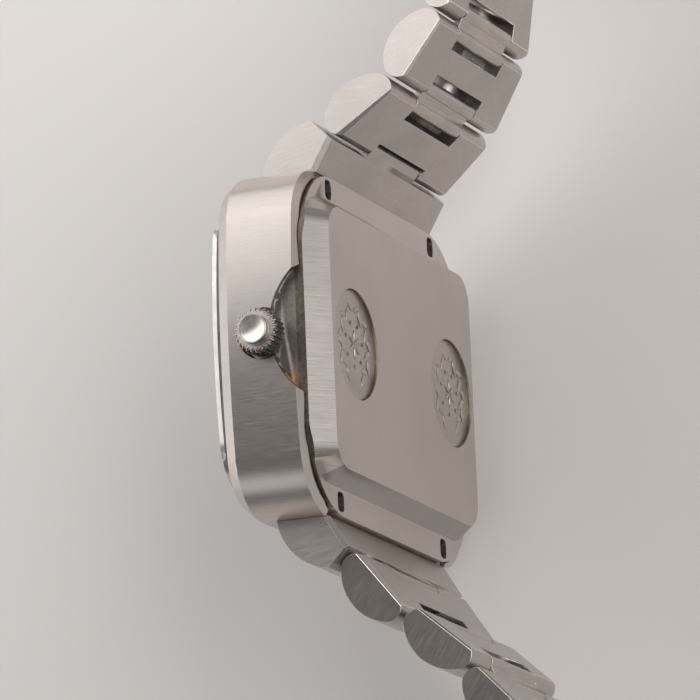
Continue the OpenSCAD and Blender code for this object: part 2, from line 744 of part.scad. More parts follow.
module six_end_piece() color("#b5afa8") end_piece();
module twelve_end_piece() color("#b5afa8") mirror([0, 1, 0]) end_piece();

module spring_bars() color("#8a867f") for (s = [-1, 1]) translate([0, s * bar_y, bar_z]) {
    bar_x(-bar_half, bar_half, bar_r - 0.3);
    bar_x(-end_w / 2 + 0.6, end_w / 2 - 0.6, bar_r);
}

// Side profile of a link: a dome over a flat inner face, with round ends that
// run smoothly into the dome. Its first pin is at the origin.
module link_profile() {
    rise = link_dome - end_up;
    half = link_pp / 2 - end_in;
    dome_r = (half * half + rise * rise - link_end_r * link_end_r) / (2 * (rise - link_end_r));
    lean = atan2(dome_r - rise, half);
    out = (link_end_r + over) * [cos(lean), sin(lean)];
    intersection() {
        union() {
            translate([end_in, end_up]) circle(link_end_r);
            translate([link_pp - end_in, end_up]) circle(link_end_r);
            intersection() {
                translate([link_pp / 2, link_dome - dome_r]) circle(dome_r, $fn = 120);
                polygon([
                    [end_in, -link_pp], [link_pp - end_in, -link_pp], [link_pp - end_in, end_up],
                    [link_pp - end_in + out[0], end_up + out[1]], [link_pp / 2, 2 * link_dome],
                    [end_in - out[0], end_up + out[1]], [end_in, end_up]
                ]);
            }
        }
        translate([-link_pp, -link_flat]) square([3 * link_pp, link_pp]);
    }
}

// A link lies along y from its first pin, with its dome towards z
module link(k) {
    w0 = strand_w(k);
    w1 = strand_w(k + 0.85);
    reach = link_end_r - end_in;
    long = link_pp + 2 * reach;
    slant = atan2((w0 - w1) / 2, long);
    bevel = edge_bevel * (k == 0 ? 2 : 1);
    difference() {
        along_x(w0 + 1) link_profile();
        for (s = [-1, 1]) {
            // Slanted ends that carry the bracelet's taper
            slab(-link_flat - over, link_dome + over) polygon([
                [s * w0 / 2, -reach], [s * w1 / 2, link_pp + reach],
                [s * w0, link_pp + reach + over], [s * w0, -reach - over]
            ]);
            // Bevel along the inner edge, wider at the case on a first link
            translate([s * w0 / 2, -reach, -link_flat])
                rotate([0, 0, s * (slant - (k == 0 ? 2 : 0))]) rotate([0, 45, 0])
                    cube([bevel, 3 * long, bevel], center = true);
        }
        // Pockets of the knuckles, open at the ends and on the inner face
        for (e = [0, 1]) translate([0, e * link_pp, 0]) mirror([0, e, 0])
            translate([-window_w / 2, -reach - over, -link_flat - over])
                cube([window_w, reach + over + pocket(k, e), link_flat + over + window_roof]);
        for (e = [0, 1]) translate([0, e * link_pp, 0]) bar_x(-pin_half, pin_half, pin_r);
    }
}

// How far a pocket goes in past its pin: the tongue's is shorter
function pocket(k, e) = k == 0 && e == 0 ? tongue_r + 0.3 : window_in;

module pins(k) for (e = [0, 1]) translate([0, e * link_pp, 0]) bar_x(-pin_half, pin_half, pin_r);

// A connector lies along y between its two pins
module connector() difference() {
    union() {
        for (e = [0, 1]) along_x(conn_w) translate([e * conn_pp, 0]) circle(knuckle_r);
        along_x(conn_w) translate([0, -knuckle_r / 2]) square([conn_pp, knuckle_r]);
    }
    for (e = [0, 1]) translate([0, e * conn_pp, 0]) bar_x(-conn_w, conn_w, pin_r + play);
}

// Lays a piece along the strand that leaves the six o'clock end
module lay(lie, i) {
    p = pin_place(lie, i);
    translate([0, p[0], p[1]]) rotate([-lie[i], 0, 0]) children();
}

module six_link(k) color("#b1aba4") lay(six_lie, 2 * k) link(k);
module six_pins(k) color("#8a867f") lay(six_lie, 2 * k) pins(k);
module six_connector(k) color("#a59f98") lay(six_lie, 2 * k + 1) connector();
module twelve_link(k) color("#b1aba4") mirror([0, 1, 0]) lay(twelve_lie, 2 * k) link(k);
module twelve_pins(k) color("#8a867f") mirror([0, 1, 0]) lay(twelve_lie, 2 * k) pins(k);
module twelve_connector(k) color("#a59f98") mirror([0, 1, 0]) lay(twelve_lie, 2 * k + 1) connector();

// A curved band of width w between two radii, from angle a0 to a1
module band(r0, r1, w, a0, a1) rotate([0, -90, 0]) rotate([0, 0, a0])
    rotate_extrude(angle = a1 - a0, $fn = 180) translate([r0, -w / 2]) square([r1 - r0, w]);

// A round bar across the clasp, at an angle and a radius
module cross_bar(r, a, w, bar) translate([0, r * sin(a), r * cos(a)]) bar_x(-w / 2, w / 2, bar);

module clasp_cover() color("#b1aba4") lay(six_lie, 8) translate([0, 0, -clasp_drop]) {
    band(clasp_r - cover_t, clasp_r, clasp_w, cover_start, cover_end);
    for (s = [-1, 1]) translate([s * (clasp_w - clasp_wall) / 2, 0, 0])
        band(outer_blade_r - cover_t, clasp_r - cover_t / 3, clasp_wall, wall_start, wall_end);
    // Its two pins end inside the walls
    cross_bar(clasp_drop, 0, clasp_w - clasp_wall, pin_r);
    cross_bar(outer_blade_r, clasp_span, clasp_w - clasp_wall, hinge_pin);
}

module clasp_outer_blade() color("#a59f98") lay(six_lie, 8) translate([0, 0, -clasp_drop]) {
    difference() {
        union() {
            band(outer_blade_r - blade_t / 2, outer_blade_r + blade_t / 2, blade_w, fold_start, clasp_span);
            cross_bar(outer_blade_r, clasp_span, blade_w, hinge_r);
            for (s = [-1, 1]) translate([s * (blade_w - ear_w) / 2, 0, 0])
                band(inner_blade_r - 0.6, outer_blade_r, ear_w,
                    fold_start - ear_span, fold_start + ear_span);
        }
        cross_bar(outer_blade_r, clasp_span, clasp_w, hinge_pin + play);
        cross_bar(inner_blade_r, fold_start, clasp_w, hinge_pin);
    }
    cross_bar(inner_blade_r, fold_start, blade_w, hinge_pin);
}

module clasp_inner_blade() color("#a59f98") lay(six_lie, 8) translate([0, 0, -clasp_drop]) difference() {
    w = blade_w - 2 * (ear_w + side_play);
    union() {
        band(inner_blade_r - blade_t / 2, inner_blade_r + blade_t / 2, w, fold_start, strap_end);
        cross_bar(inner_blade_r, fold_start, w, hinge_r);
        cross_bar(inner_blade_r, strap_end, w, strap_boss_r);
    }
    cross_bar(inner_blade_r, fold_start, clasp_w, hinge_pin + play);
    cross_bar(inner_blade_r, strap_end, clasp_w, pin_r + play);
}

// The finished watch lies on its pusher flank: crown up, six o'clock along +X
module place() rotate([-90, 0, 0]) rotate([0, 0, -90]) children();

place() case_middle();
place() bezel();
place() crystal();
place() crystal_gasket();
place() flange_ring();
place() dial();
place() hour_markers();
place() movement_ring();
place() main_plate();
place() movement_bridge();
place() mainspring_barrel();
place() balance_wheel();
place() cannon_pinion();
place() minute_wheel();
place() hour_wheel();
place() hour_hand();
place() minute_hand();
place() chrono_seconds_hand();
place() running_seconds_hand();
place() minute_counter_hand();
place() case_back();
place() back_gasket();
place() crown();
place() winding_stem();
place() crown_tube();
place() setting_lever();
place() start_pusher();
place() reset_pusher();
place() start_pusher_spring();
place() reset_pusher_spring();
place() pusher_tubes();
place() six_end_piece();
place() twelve_end_piece();
place() spring_bars();
for (k = [1 : link_count]) {
    place() six_link(k - 1);
    place() six_pins(k - 1);
    place() six_connector(k - 1);
    place() twelve_link(k - 1);
    place() twelve_pins(k - 1);
}
for (k = [1 : link_count - 1])
    place() twelve_connector(k - 1);
place() clasp_cover();
place() clasp_outer_blade();
place() clasp_inner_blade();
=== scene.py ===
"""Dresses the chronograph watch: steel finishes, medallions, dial print and the studio round it."""

import json
import math

import bmesh
import bpy
from mathutils import Matrix, Vector

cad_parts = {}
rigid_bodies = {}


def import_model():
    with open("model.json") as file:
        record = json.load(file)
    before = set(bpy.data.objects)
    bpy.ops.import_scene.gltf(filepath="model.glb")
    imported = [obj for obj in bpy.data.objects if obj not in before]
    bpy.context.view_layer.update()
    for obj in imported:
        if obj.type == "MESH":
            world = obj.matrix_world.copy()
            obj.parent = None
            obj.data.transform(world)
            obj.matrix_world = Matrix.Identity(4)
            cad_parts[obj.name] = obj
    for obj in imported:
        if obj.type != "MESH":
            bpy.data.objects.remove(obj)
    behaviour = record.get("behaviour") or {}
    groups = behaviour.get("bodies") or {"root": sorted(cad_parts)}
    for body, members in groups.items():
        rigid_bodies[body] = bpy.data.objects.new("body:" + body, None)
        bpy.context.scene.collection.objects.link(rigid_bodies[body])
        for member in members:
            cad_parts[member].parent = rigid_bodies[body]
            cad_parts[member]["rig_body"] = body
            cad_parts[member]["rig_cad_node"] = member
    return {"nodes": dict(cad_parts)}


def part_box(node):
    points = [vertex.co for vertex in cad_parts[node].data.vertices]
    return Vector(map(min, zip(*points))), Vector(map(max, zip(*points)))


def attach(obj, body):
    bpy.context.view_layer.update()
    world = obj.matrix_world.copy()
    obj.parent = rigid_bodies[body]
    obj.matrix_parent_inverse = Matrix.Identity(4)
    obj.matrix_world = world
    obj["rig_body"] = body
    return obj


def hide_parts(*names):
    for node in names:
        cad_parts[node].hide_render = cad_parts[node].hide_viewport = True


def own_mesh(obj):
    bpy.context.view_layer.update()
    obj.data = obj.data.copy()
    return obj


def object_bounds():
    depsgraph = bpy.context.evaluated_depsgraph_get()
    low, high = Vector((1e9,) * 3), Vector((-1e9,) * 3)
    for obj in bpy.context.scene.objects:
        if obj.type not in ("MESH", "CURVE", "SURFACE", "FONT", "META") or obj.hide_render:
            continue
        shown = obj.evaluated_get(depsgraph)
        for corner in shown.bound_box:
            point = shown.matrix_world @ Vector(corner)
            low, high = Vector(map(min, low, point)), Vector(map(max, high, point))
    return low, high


bl_info = {
    "name": "Chronograph Watch",
    "version": (1, 0, 0),
    "blender": (4, 5, 0),
    "location": "View3D > Sidebar > Watch",
    "description": "Builds the finishes, medallions and dial print of a bracelet watch",
    "category": "Object",
}

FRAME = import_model()
CAD_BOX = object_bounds()

MM = 0.001
# An edge bends at least this much to be rounded
SHARP = math.radians(28)
# Vertices of a CAD mesh this close are one, and faces this close to level are one
MERGE = 0.002 * MM
LEVEL = math.radians(0.6)
# Vertices of a modelled mesh this close are the same point
SAME_POINT = 0.0001 * MM
# Each strand's name, with its number of links and of connectors
STRANDS = (("six", 4, 4), ("twelve", 4, 3))
# The tint of the steel
WARM = (1.0, 0.905, 0.85)
# Widths of the rounded edges on the small pieces
CONNECTOR_EDGE = 0.06 * MM
BLADE_EDGE = 0.05 * MM
PUSHER_EDGE = 0.08 * MM
# The photograph's camera: where it stands, and the picture's right and down
CAMERA_AT = (-0.158947, -0.252745, 0.653718)
CAMERA_RIGHT = (-0.0411, -0.92545, -0.37663)
CAMERA_DOWN = (-0.97366, 0.12170, -0.19279)
# Each light's name, place, aim, width, height and radiance
KEY_LIGHT = ("Key light", (0.146, 0.085, 0.175), (0.146, 0.085, 0), 0.176, 0.26, 1.32)
KEY_TURN = math.radians(20)
OTHER_LIGHTS = (
    ("Top fill", (0.33, 0.13, 0.12), (0, 0, 0), 0.3, 0.2, 1.15),
    ("Bezel strip", (0.077, 0.275, 0.202), (0, 0, 0), 0.34, 0.1, 0.95),
    ("Back fill", (0.05, -0.36, 0.44), (0, 0, 0), 0.7, 0.3, 2.7),
    ("Bevel strip", (0.10, -0.42, 0.13), (0, 0, 0), 0.5, 0.1, 0.95),
    ("Dial fill", (0.05, 0.40, 0.10), (0, 0, 0.02), 0.6, 0.24, 1.3),
    ("Low fill", (-0.35, 0.16, 0.24), (0, 0, 0), 0.3, 0.2, 0.6),
)


# Selection and mesh helpers


def deselect_all():
    """Goes back to Object Mode with nothing selected."""
    if bpy.context.object and bpy.context.object.mode != "OBJECT":
        bpy.ops.object.mode_set(mode="OBJECT")
    bpy.ops.object.select_all(action="DESELECT")


def take(obj):
    """Makes obj the only selected object, and the active one."""
    deselect_all()
    obj.select_set(True)
    bpy.context.view_layer.objects.active = obj


def into_mesh(obj):
    """Moves the object's place into its mesh."""
    take(obj)
    bpy.ops.object.transform_apply(location=True, rotation=True, scale=True)


def smooth(obj, degrees):
    """Shades obj smooth, with the edges that bend more than degrees left sharp."""
    take(obj)
    bpy.ops.object.shade_smooth_by_angle(angle=math.radians(degrees))


def open_mesh(obj):
    """Opens obj's mesh in Edit Mode with everything selected."""
    take(obj)
    bpy.ops.object.mode_set(mode="EDIT")
    bpy.ops.mesh.select_all(action="SELECT")


def close_mesh():
    """Turns the open mesh's faces outwards and goes back to Object Mode."""
    bpy.ops.mesh.select_all(action="SELECT")
    bpy.ops.mesh.normals_make_consistent(inside=False)
    bpy.ops.object.mode_set(mode="OBJECT")


def copied(shape, move):
    """A copy of shape with its own mesh, moved by a matrix."""
    copy = shape.copy()
    copy.data = shape.data.copy()
    copy.data.transform(move)
    bpy.context.scene.collection.objects.link(copy)
    return copy


def join(objs, name):
    """Joins objs into one piece of the given name."""
    deselect_all()
    for o in objs:
        o.select_set(True)
    bpy.context.view_layer.objects.active = objs[0]
    bpy.ops.object.join()
    objs[0].name = name
    objs[0].data.name = name
    return objs[0]


def exact_normals(obj, source):
    """Takes the shading normals of the CAD surfaces, so only the bevelled edges bend."""
    take(obj)
    bpy.ops.object.shade_smooth()
    carry = obj.modifiers.new("CAD normals", "DATA_TRANSFER")
    carry.object = source
    carry.use_loop_data = True
    carry.data_types_loops = {"CUSTOM_NORMAL"}
    carry.loop_mapping = "POLYINTERP_NEAREST"
    bpy.ops.object.modifier_apply(modifier=carry.name)


def cut_across(obj, place, normal):
    """Cuts new edges where a plane crosses obj."""
    open_mesh(obj)
    bpy.ops.mesh.bisect(plane_co=place, plane_no=normal)
    bpy.ops.object.mode_set(mode="OBJECT")


def mark_edges(obj, weight):
    """Gives each outward sharp edge its share of the bevel's width."""
    shape = bmesh.new()
    shape.from_mesh(obj.data)
    share = shape.edges.layers.float.new("bevel_weight_edge")
    for edge in shape.edges:
        if edge.is_manifold and edge.is_convex and edge.calc_face_angle(0) > SHARP:
            middle = (edge.verts[0].co + edge.verts[1].co) / 2
            edge[share] = weight(middle) if weight else 1.0
    shape.to_mesh(obj.data)
    shape.free()


def finished_copy(
    node, width, body, materials, zones=(), weight=None, segments=1, exact=True, seam=None
):
    """A merged copy of a CAD node with small rounded edges, which then stands for it.

    The first material is the main one and the last is for the rounded edges. Each test in
    zones takes a face's place and normal, and gives it the material at its own number.
    weight gives an edge's share of the width by its place. exact keeps the CAD's shading
    normals. seam is the place and normal of a plane that cuts new edges.
    """
    source = FRAME["nodes"][node]
    obj = source.copy()
    obj.data = source.data.copy()
    obj.name = node + "_finished"
    obj.data.name = obj.name
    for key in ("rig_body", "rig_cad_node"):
        if key in obj:
            del obj[key]
    obj.parent = None
    bpy.context.scene.collection.objects.link(obj)
    open_mesh(obj)
    bpy.ops.mesh.remove_doubles(threshold=MERGE)
    bpy.ops.mesh.dissolve_limited(angle_limit=LEVEL)
    bpy.ops.mesh.normals_make_consistent(inside=False)
    bpy.ops.object.mode_set(mode="OBJECT")
    if seam:
        cut_across(obj, *seam)
    obj.data.materials.clear()
    for m in materials:
        obj.data.materials.append(m)
    for face in obj.data.polygons:
        hits = [i for i, test in enumerate(zones, 1) if test(face.center, face.normal)]
        face.material_index = hits[0] if hits else 0
    mark_edges(obj, weight)
    bevel = obj.modifiers.new("Rounded edges", "BEVEL")
    bevel.width = width
    bevel.segments = segments
    bevel.limit_method = "WEIGHT"
    bevel.miter_outer = "MITER_ARC"
    bevel.use_clamp_overlap = True
    bevel.material = len(materials) - 1
    bpy.ops.object.modifier_apply(modifier=bevel.name)
    if exact:
        exact_normals(obj, source)
    else:
        smooth(obj, degrees=38)
        even = obj.modifiers.new("Even shading", "WEIGHTED_NORMAL")
        even.keep_sharp = True
        even.weight = 100
        bpy.ops.object.modifier_apply(modifier=even.name)
    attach(obj, body)
    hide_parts(node)
    return obj


# Node groups and materials


def new_group(name, inputs, outputs):
    """An empty node group with its sockets."""
    tree = bpy.data.node_groups.new(name, "ShaderNodeTree")
    for label, kind, default in inputs:
        sock = tree.interface.new_socket(name=label, in_out="INPUT", socket_type=kind)
        sock.default_value = default
    for label, kind in outputs:
        tree.interface.new_socket(name=label, in_out="OUTPUT", socket_type=kind)
    return tree, tree.nodes.new("NodeGroupInput"), tree.nodes.new("NodeGroupOutput")


def node(tree, kind, **values):
    """A new node with the given settings."""
    n = tree.nodes.new(kind)
    for key, value in values.items():
        setattr(n, key, value)
    return n


def grain_group():
    """Fine brushed streaks in a given direction, with broad patches and stray scratches."""
    tree, given, out = new_group(
        "Brushed grain",
        [
            ("Vector", "NodeSocketVector", (0, 0, 0)),
            ("Turn", "NodeSocketVector", (0, 0, 0)),
            ("Streaks", "NodeSocketVector", (1, 1, 1)),
            ("Patch Scale", "NodeSocketFloat", 150.0),
            ("Scratch Amount", "NodeSocketFloat", 0.3),
        ],
        [("Grain", "NodeSocketFloat"), ("Patches", "NodeSocketFloat"), ("Scratches", "NodeSocketFloat")],
    )
    link = tree.links.new
    turned = node(tree, "ShaderNodeMapping")
    turned.inputs["Scale"].default_value = (1, 1, 1)
    link(given.outputs["Vector"], turned.inputs["Vector"])
    link(given.outputs["Turn"], turned.inputs["Rotation"])
    stretched = node(tree, "ShaderNodeVectorMath", operation="MULTIPLY")
    link(turned.outputs["Vector"], stretched.inputs[0])
    link(given.outputs["Streaks"], stretched.inputs[1])
    fine = node(tree, "ShaderNodeTexNoise")
    fine.inputs["Scale"].default_value = 1.0
    fine.inputs["Detail"].default_value = 4.0
    fine.inputs["Roughness"].default_value = 0.65
    link(stretched.outputs["Vector"], fine.inputs["Vector"])
    link(fine.outputs["Fac"], out.inputs["Grain"])
    patch = node(tree, "ShaderNodeTexNoise")
    patch.inputs["Detail"].default_value = 2.0
    link(given.outputs["Vector"], patch.inputs["Vector"])
    link(given.outputs["Patch Scale"], patch.inputs["Scale"])
    link(patch.outputs["Fac"], out.inputs["Patches"])
    skewed = node(tree, "ShaderNodeMapping")
    skewed.inputs["Rotation"].default_value = (0.5, 0.3, 0.7)
    skewed.inputs["Scale"].default_value = (2600, 260, 900)
    link(given.outputs["Vector"], skewed.inputs["Vector"])
    scratch = node(tree, "ShaderNodeTexNoise")
    scratch.inputs["Scale"].default_value = 1.0
    scratch.inputs["Detail"].default_value = 1.0
    scratch.inputs["Distortion"].default_value = 0.4
    link(skewed.outputs["Vector"], scratch.inputs["Vector"])
    sharp = node(tree, "ShaderNodeMapRange")
    sharp.inputs["From Min"].default_value = 0.66
    sharp.inputs["From Max"].default_value = 0.72
    link(scratch.outputs["Fac"], sharp.inputs["Value"])
    shown = node(tree, "ShaderNodeMath", operation="MULTIPLY")
    link(sharp.outputs["Result"], shown.inputs[0])
    link(given.outputs["Scratch Amount"], shown.inputs[1])
    link(shown.outputs["Value"], out.inputs["Scratches"])
    return tree


def grime_and_shade_group():
    """A mask of grime and of painted shade, which darkens corners, gaps and slots."""
    tree, given, out = new_group(
        "Corner grime and shade",
        [
            ("Vector", "NodeSocketVector", (0, 0, 0)),
            ("Reach", "NodeSocketFloat", 0.0006),
            ("Amount", "NodeSocketFloat", 1.0),
        ],
        [("Mask", "NodeSocketFloat")],
    )
    link = tree.links.new
    # Ambient occlusion, with the neighbouring pieces counted, sets where shade is painted, so gaps
    # between parts darken too
    hollow = node(tree, "ShaderNodeAmbientOcclusion", samples=8)
    link(given.outputs["Reach"], hollow.inputs["Distance"])
    deep = node(tree, "ShaderNodeMapRange")
    deep.inputs["From Min"].default_value = 0.75
    deep.inputs["From Max"].default_value = 0.3
    link(hollow.outputs["AO"], deep.inputs["Value"])
    patchy = node(tree, "ShaderNodeTexNoise")
    patchy.inputs["Scale"].default_value = 900.0
    patchy.inputs["Detail"].default_value = 3.0
    link(given.outputs["Vector"], patchy.inputs["Vector"])
    uneven = node(tree, "ShaderNodeMapRange")
    uneven.inputs["From Min"].default_value = 0.35
    uneven.inputs["From Max"].default_value = 0.6
    link(patchy.outputs["Fac"], uneven.inputs["Value"])
    both = node(tree, "ShaderNodeMath", operation="MULTIPLY")
    link(deep.outputs["Result"], both.inputs[0])
    link(uneven.outputs["Result"], both.inputs[1])
    scaled = node(tree, "ShaderNodeMath", operation="MULTIPLY", use_clamp=True)
    link(both.outputs["Value"], scaled.inputs[0])
    link(given.outputs["Amount"], scaled.inputs[1])
    link(scaled.outputs["Value"], out.inputs["Mask"])
    return tree


# The groups made so far by their builder, and the materials by their name
GROUPS = {}
MATERIALS = {}


def use_group(tree, build, place, values):
    """A node of the group that build makes, fed with a place and constant values."""
    if build not in GROUPS:
        GROUPS[build] = build()
    g = node(tree, "ShaderNodeGroup", node_tree=GROUPS[build])
    tree.links.new(place, g.inputs["Vector"])
    for label, value in values.items():
        g.inputs[label].default_value = value
    return g


def new_material(name):
    """A new material, with its tree, its shader and the object's own coordinates."""
    mat = bpy.data.materials.new(name)
    mat.use_nodes = True
    tree = mat.node_tree
    MATERIALS[name] = mat
    place = node(tree, "ShaderNodeTexCoord").outputs["Object"]
    return mat, tree, tree.nodes["Principled BSDF"], place


def add_bump(tree, shader, height, microns):
    """Raises the surface by up to the given microns where height is high."""
    ridge = node(tree, "ShaderNodeBump")
    ridge.inputs["Strength"].default_value = 1.0
    ridge.inputs["Distance"].default_value = microns * 1e-6
    tree.links.new(height, ridge.inputs["Height"])
    tree.links.new(ridge.outputs["Normal"], shader.inputs["Normal"])


def mixed(tree, low, high, factor):
    """A colour between low and high."""
    mix = node(tree, "ShaderNodeMix", data_type="RGBA")
    for label, value in (("A", low), ("B", high)):
        sock = [s for s in mix.inputs if s.name == label and s.type == "RGBA"][0]
        if isinstance(value, (tuple, list)):
            sock.default_value = (*value[:3], 1)
        else:
            tree.links.new(value, sock)
    tree.links.new(factor, mix.inputs["Factor"])
    return [s for s in mix.outputs if s.type == "RGBA"][0]


def ranged(tree, value, low, high, from_low=0.3, from_high=0.7):
    """The value, moved from one range to another."""
    r = node(tree, "ShaderNodeMapRange")
    r.inputs["From Min"].default_value = from_low
    r.inputs["From Max"].default_value = from_high
    r.inputs["To Min"].default_value = low
    r.inputs["To Max"].default_value = high
    tree.links.new(value, r.inputs["Value"])
    return r.outputs["Result"]


def steel(
    name, dark, light, rough, turn=(0, 0, 0), streaks=(60, 9000, 9000), bump=1.0,
    scratch=0.3, grime_and_shade=0.0, grime_and_shade_colour=(0.10, 0.065, 0.04), patch=150.0, reach=0.0006,
):
    """Brushed or polished steel with its grain along one direction of the object."""
    if name in MATERIALS:
        return MATERIALS[name]
    mat, tree, shader, place = new_material(name)
    link = tree.links.new
    g = use_group(tree, grain_group, place, {
        "Turn": turn, "Streaks": streaks, "Patch Scale": patch, "Scratch Amount": scratch
    })
    darker = tuple(0.86 * v for v in dark)
    lighter = tuple(min(1, 1.15 * v) for v in light)
    base = mixed(tree, dark, light, ranged(tree, g.outputs["Grain"], 0, 1, 0.32, 0.68))
    base = mixed(tree, base, darker, ranged(tree, g.outputs["Patches"], 0, 0.5, 0.45, 0.75))
    base = mixed(tree, base, lighter, g.outputs["Scratches"])
    wear = ranged(tree, g.outputs["Grain"], rough[0], rough[1], 0.3, 0.7)
    # The grime-and-shade mask paints shade into corners and gaps along with brown grime, and dulls the
    # steel there
    if grime_and_shade:
        mask = use_group(tree, grime_and_shade_group, place, {"Reach": reach, "Amount": grime_and_shade}).outputs["Mask"]
        base = mixed(tree, base, grime_and_shade_colour, mask)
        dull = node(tree, "ShaderNodeMath", operation="MAXIMUM")
        link(wear, dull.inputs[0])
        link(ranged(tree, mask, 0, 0.75, 0, 1), dull.inputs[1])
        wear = dull.outputs["Value"]
        link(ranged(tree, mask, 1, 0.35, 0, 1), shader.inputs["Metallic"])
    else:
        shader.inputs["Metallic"].default_value = 1.0
    link(base, shader.inputs["Base Color"])
    link(wear, shader.inputs["Roughness"])
    add_bump(tree, shader, g.outputs["Grain"], bump)
    return mat


def coated(name, dark, light, rough, metallic=0.0):
    """Paint, plastic or rubber with a fine uneven surface."""
    if name in MATERIALS:
        return MATERIALS[name]
    mat, tree, shader, place = new_material(name)
    g = use_group(tree, grain_group, place, {
        "Streaks": (3600, 3600, 3600), "Patch Scale": 225.0, "Scratch Amount": 0.0
    })
    tree.links.new(mixed(tree, dark, light, g.outputs["Patches"]), shader.inputs["Base Color"])
    tree.links.new(ranged(tree, g.outputs["Grain"], rough[0], rough[1]), shader.inputs["Roughness"])
    shader.inputs["Metallic"].default_value = metallic
    add_bump(tree, shader, g.outputs["Grain"], 0.5)
    return mat


def glass():
    """The clear, faintly smeared glass of the crystal."""
    if "Watch glass" in MATERIALS:
        return MATERIALS["Watch glass"]
    mat, tree, shader, place = new_material("Watch glass")
    g = use_group(tree, grain_group, place, {"Streaks": (700, 700, 4000)})
    tree.links.new(ranged(tree, g.outputs["Grain"], 0.01, 0.05), shader.inputs["Roughness"])
    shader.inputs["Base Color"].default_value = (0.96, 0.98, 0.98, 1)
    shader.inputs["Transmission Weight"].default_value = 1.0
    shader.inputs["IOR"].default_value = 1.5
    return mat


def cover(obj, material):
    """Gives all of obj one material."""
    obj.data.materials.clear()
    obj.data.materials.append(material)
    for face in obj.data.polygons:
        face.material_index = 0


def dress(name, material):
    """Gives a CAD node its finish; its mesh stays as it is."""
    cover(FRAME["nodes"][name], material)


# Sizes that a user would change


class WatchSizes(bpy.types.PropertyGroup):
    edge: bpy.props.FloatProperty(
        name="Edge", description="Width of the rounded edges on the case",
        default=0.12 * MM, unit="LENGTH",
    )
    link_edge: bpy.props.FloatProperty(
        name="Link edge", description="Width of the rounded edges on the links",
        default=0.1 * MM, unit="LENGTH",
    )
    back_edge: bpy.props.FloatProperty(
        name="Back edge", description="Width of the soft edges on the case back",
        default=0.26 * MM, unit="LENGTH",
    )
    bezel_height: bpy.props.FloatProperty(
        name="Bezel height", description="Height of the bezel over the case",
        default=1.05 * MM, unit="LENGTH",
    )
    # The height of the painted shadow strip at the bezel's foot, which stands for the shade in the gap
    bezel_shadow_seam: bpy.props.FloatProperty(
        name="Bezel seam shadow", description="Height of the painted shadow line at the bezel's foot",
        default=0.52 * MM, unit="LENGTH",
    )
    crown_base: bpy.props.FloatProperty(
        name="Crown base", description="Where the crown starts along its axis",
        default=23.0 * MM, unit="LENGTH",
    )
    crown_front: bpy.props.FloatProperty(
        name="Crown front", description="Where the crown's flat face lies",
        default=25.5 * MM, unit="LENGTH",
    )
    register_at: bpy.props.FloatProperty(
        name="Register place", description="Distance of a register from the dial's centre",
        default=8.2 * MM, unit="LENGTH",
    )
    pusher_travel: bpy.props.FloatProperty(
        name="Pusher travel", description="How far a pusher goes in",
        default=0.9 * MM, unit="LENGTH",
    )
    crown_teeth: bpy.props.IntProperty(
        name="Crown teeth", description="Number of the crown's flutes",
        default=26,
    )
    medal_radius: bpy.props.FloatProperty(
        name="Medallion radius", description="Radius of a medallion",
        default=5.8 * MM, unit="LENGTH",
    )
    medal_gap: bpy.props.FloatProperty(
        name="Medallion gap", description="Distance between the medallions' centres",
        default=27 * MM, unit="LENGTH",
    )
    medal_depth: bpy.props.FloatProperty(
        name="Medallion depth", description="Depth of a medallion's plate",
        default=0.26 * MM, unit="LENGTH",
    )
    relief: bpy.props.FloatProperty(
        name="Relief", description="Height of the medallion's relief",
        default=0.2 * MM, unit="LENGTH",
    )
    floor_colour: bpy.props.FloatVectorProperty(
        name="Floor", description="Colour of the studio floor",
        default=(0.78, 0.745, 0.72), subtype="COLOR", size=3,
    )
    lens: bpy.props.FloatProperty(
        name="Lens", description="Focal length of the camera in millimetres",
        default=351.1, unit="NONE",
    )


def sizes():
    """The sizes in the sidebar."""
    return bpy.context.scene.watch_sizes


# Finishes that several pieces share


def warm(value):
    """A warm steel colour of the given strength."""
    return tuple(value * c for c in WARM)


def stained(mat, from_x, to_x, colour):
    """Lets a patchy stain grow over a material, once, between two places along the object's x."""
    if mat.get("stained"):
        return
    mat["stained"] = True
    tree = mat.node_tree
    shader = tree.nodes["Principled BSDF"]
    place = node(tree, "ShaderNodeTexCoord").outputs["Object"]
    along = node(tree, "ShaderNodeSeparateXYZ")
    tree.links.new(place, along.inputs["Vector"])
    g = use_group(tree, grain_group, place, {"Streaks": (2200, 2200, 2200)})
    patchy = node(tree, "ShaderNodeMath", operation="MULTIPLY")
    tree.links.new(ranged(tree, along.outputs["X"], 0, 1, from_x, to_x), patchy.inputs[0])
    tree.links.new(ranged(tree, g.outputs["Grain"], 0.15, 1, 0.4, 0.6), patchy.inputs[1])
    clean = shader.inputs["Base Color"].links[0].from_socket
    tree.links.new(mixed(tree, clean, colour, patchy.outputs["Value"]), shader.inputs["Base Color"])


def edge_steel():
    """The bright steel of rounded edges."""
    return steel("Bright edge steel", warm(0.72), warm(0.86), (0.14, 0.26),
                 streaks=(900, 900, 900), bump=0.2, scratch=0.15)


def grimy_shaded_steel(name, dark, light, grime_and_shade, reach):
    """Steel of a recess, with brown grime and painted shade in its corners."""
    return steel(name, dark, light, (0.34, 0.5), streaks=(2600, 2600, 2600), bump=2.0, scratch=0.2,
                 grime_and_shade=grime_and_shade, grime_and_shade_colour=(0.17, 0.085, 0.03), reach=reach, patch=700.0)


# Pieces and groups, one operator each


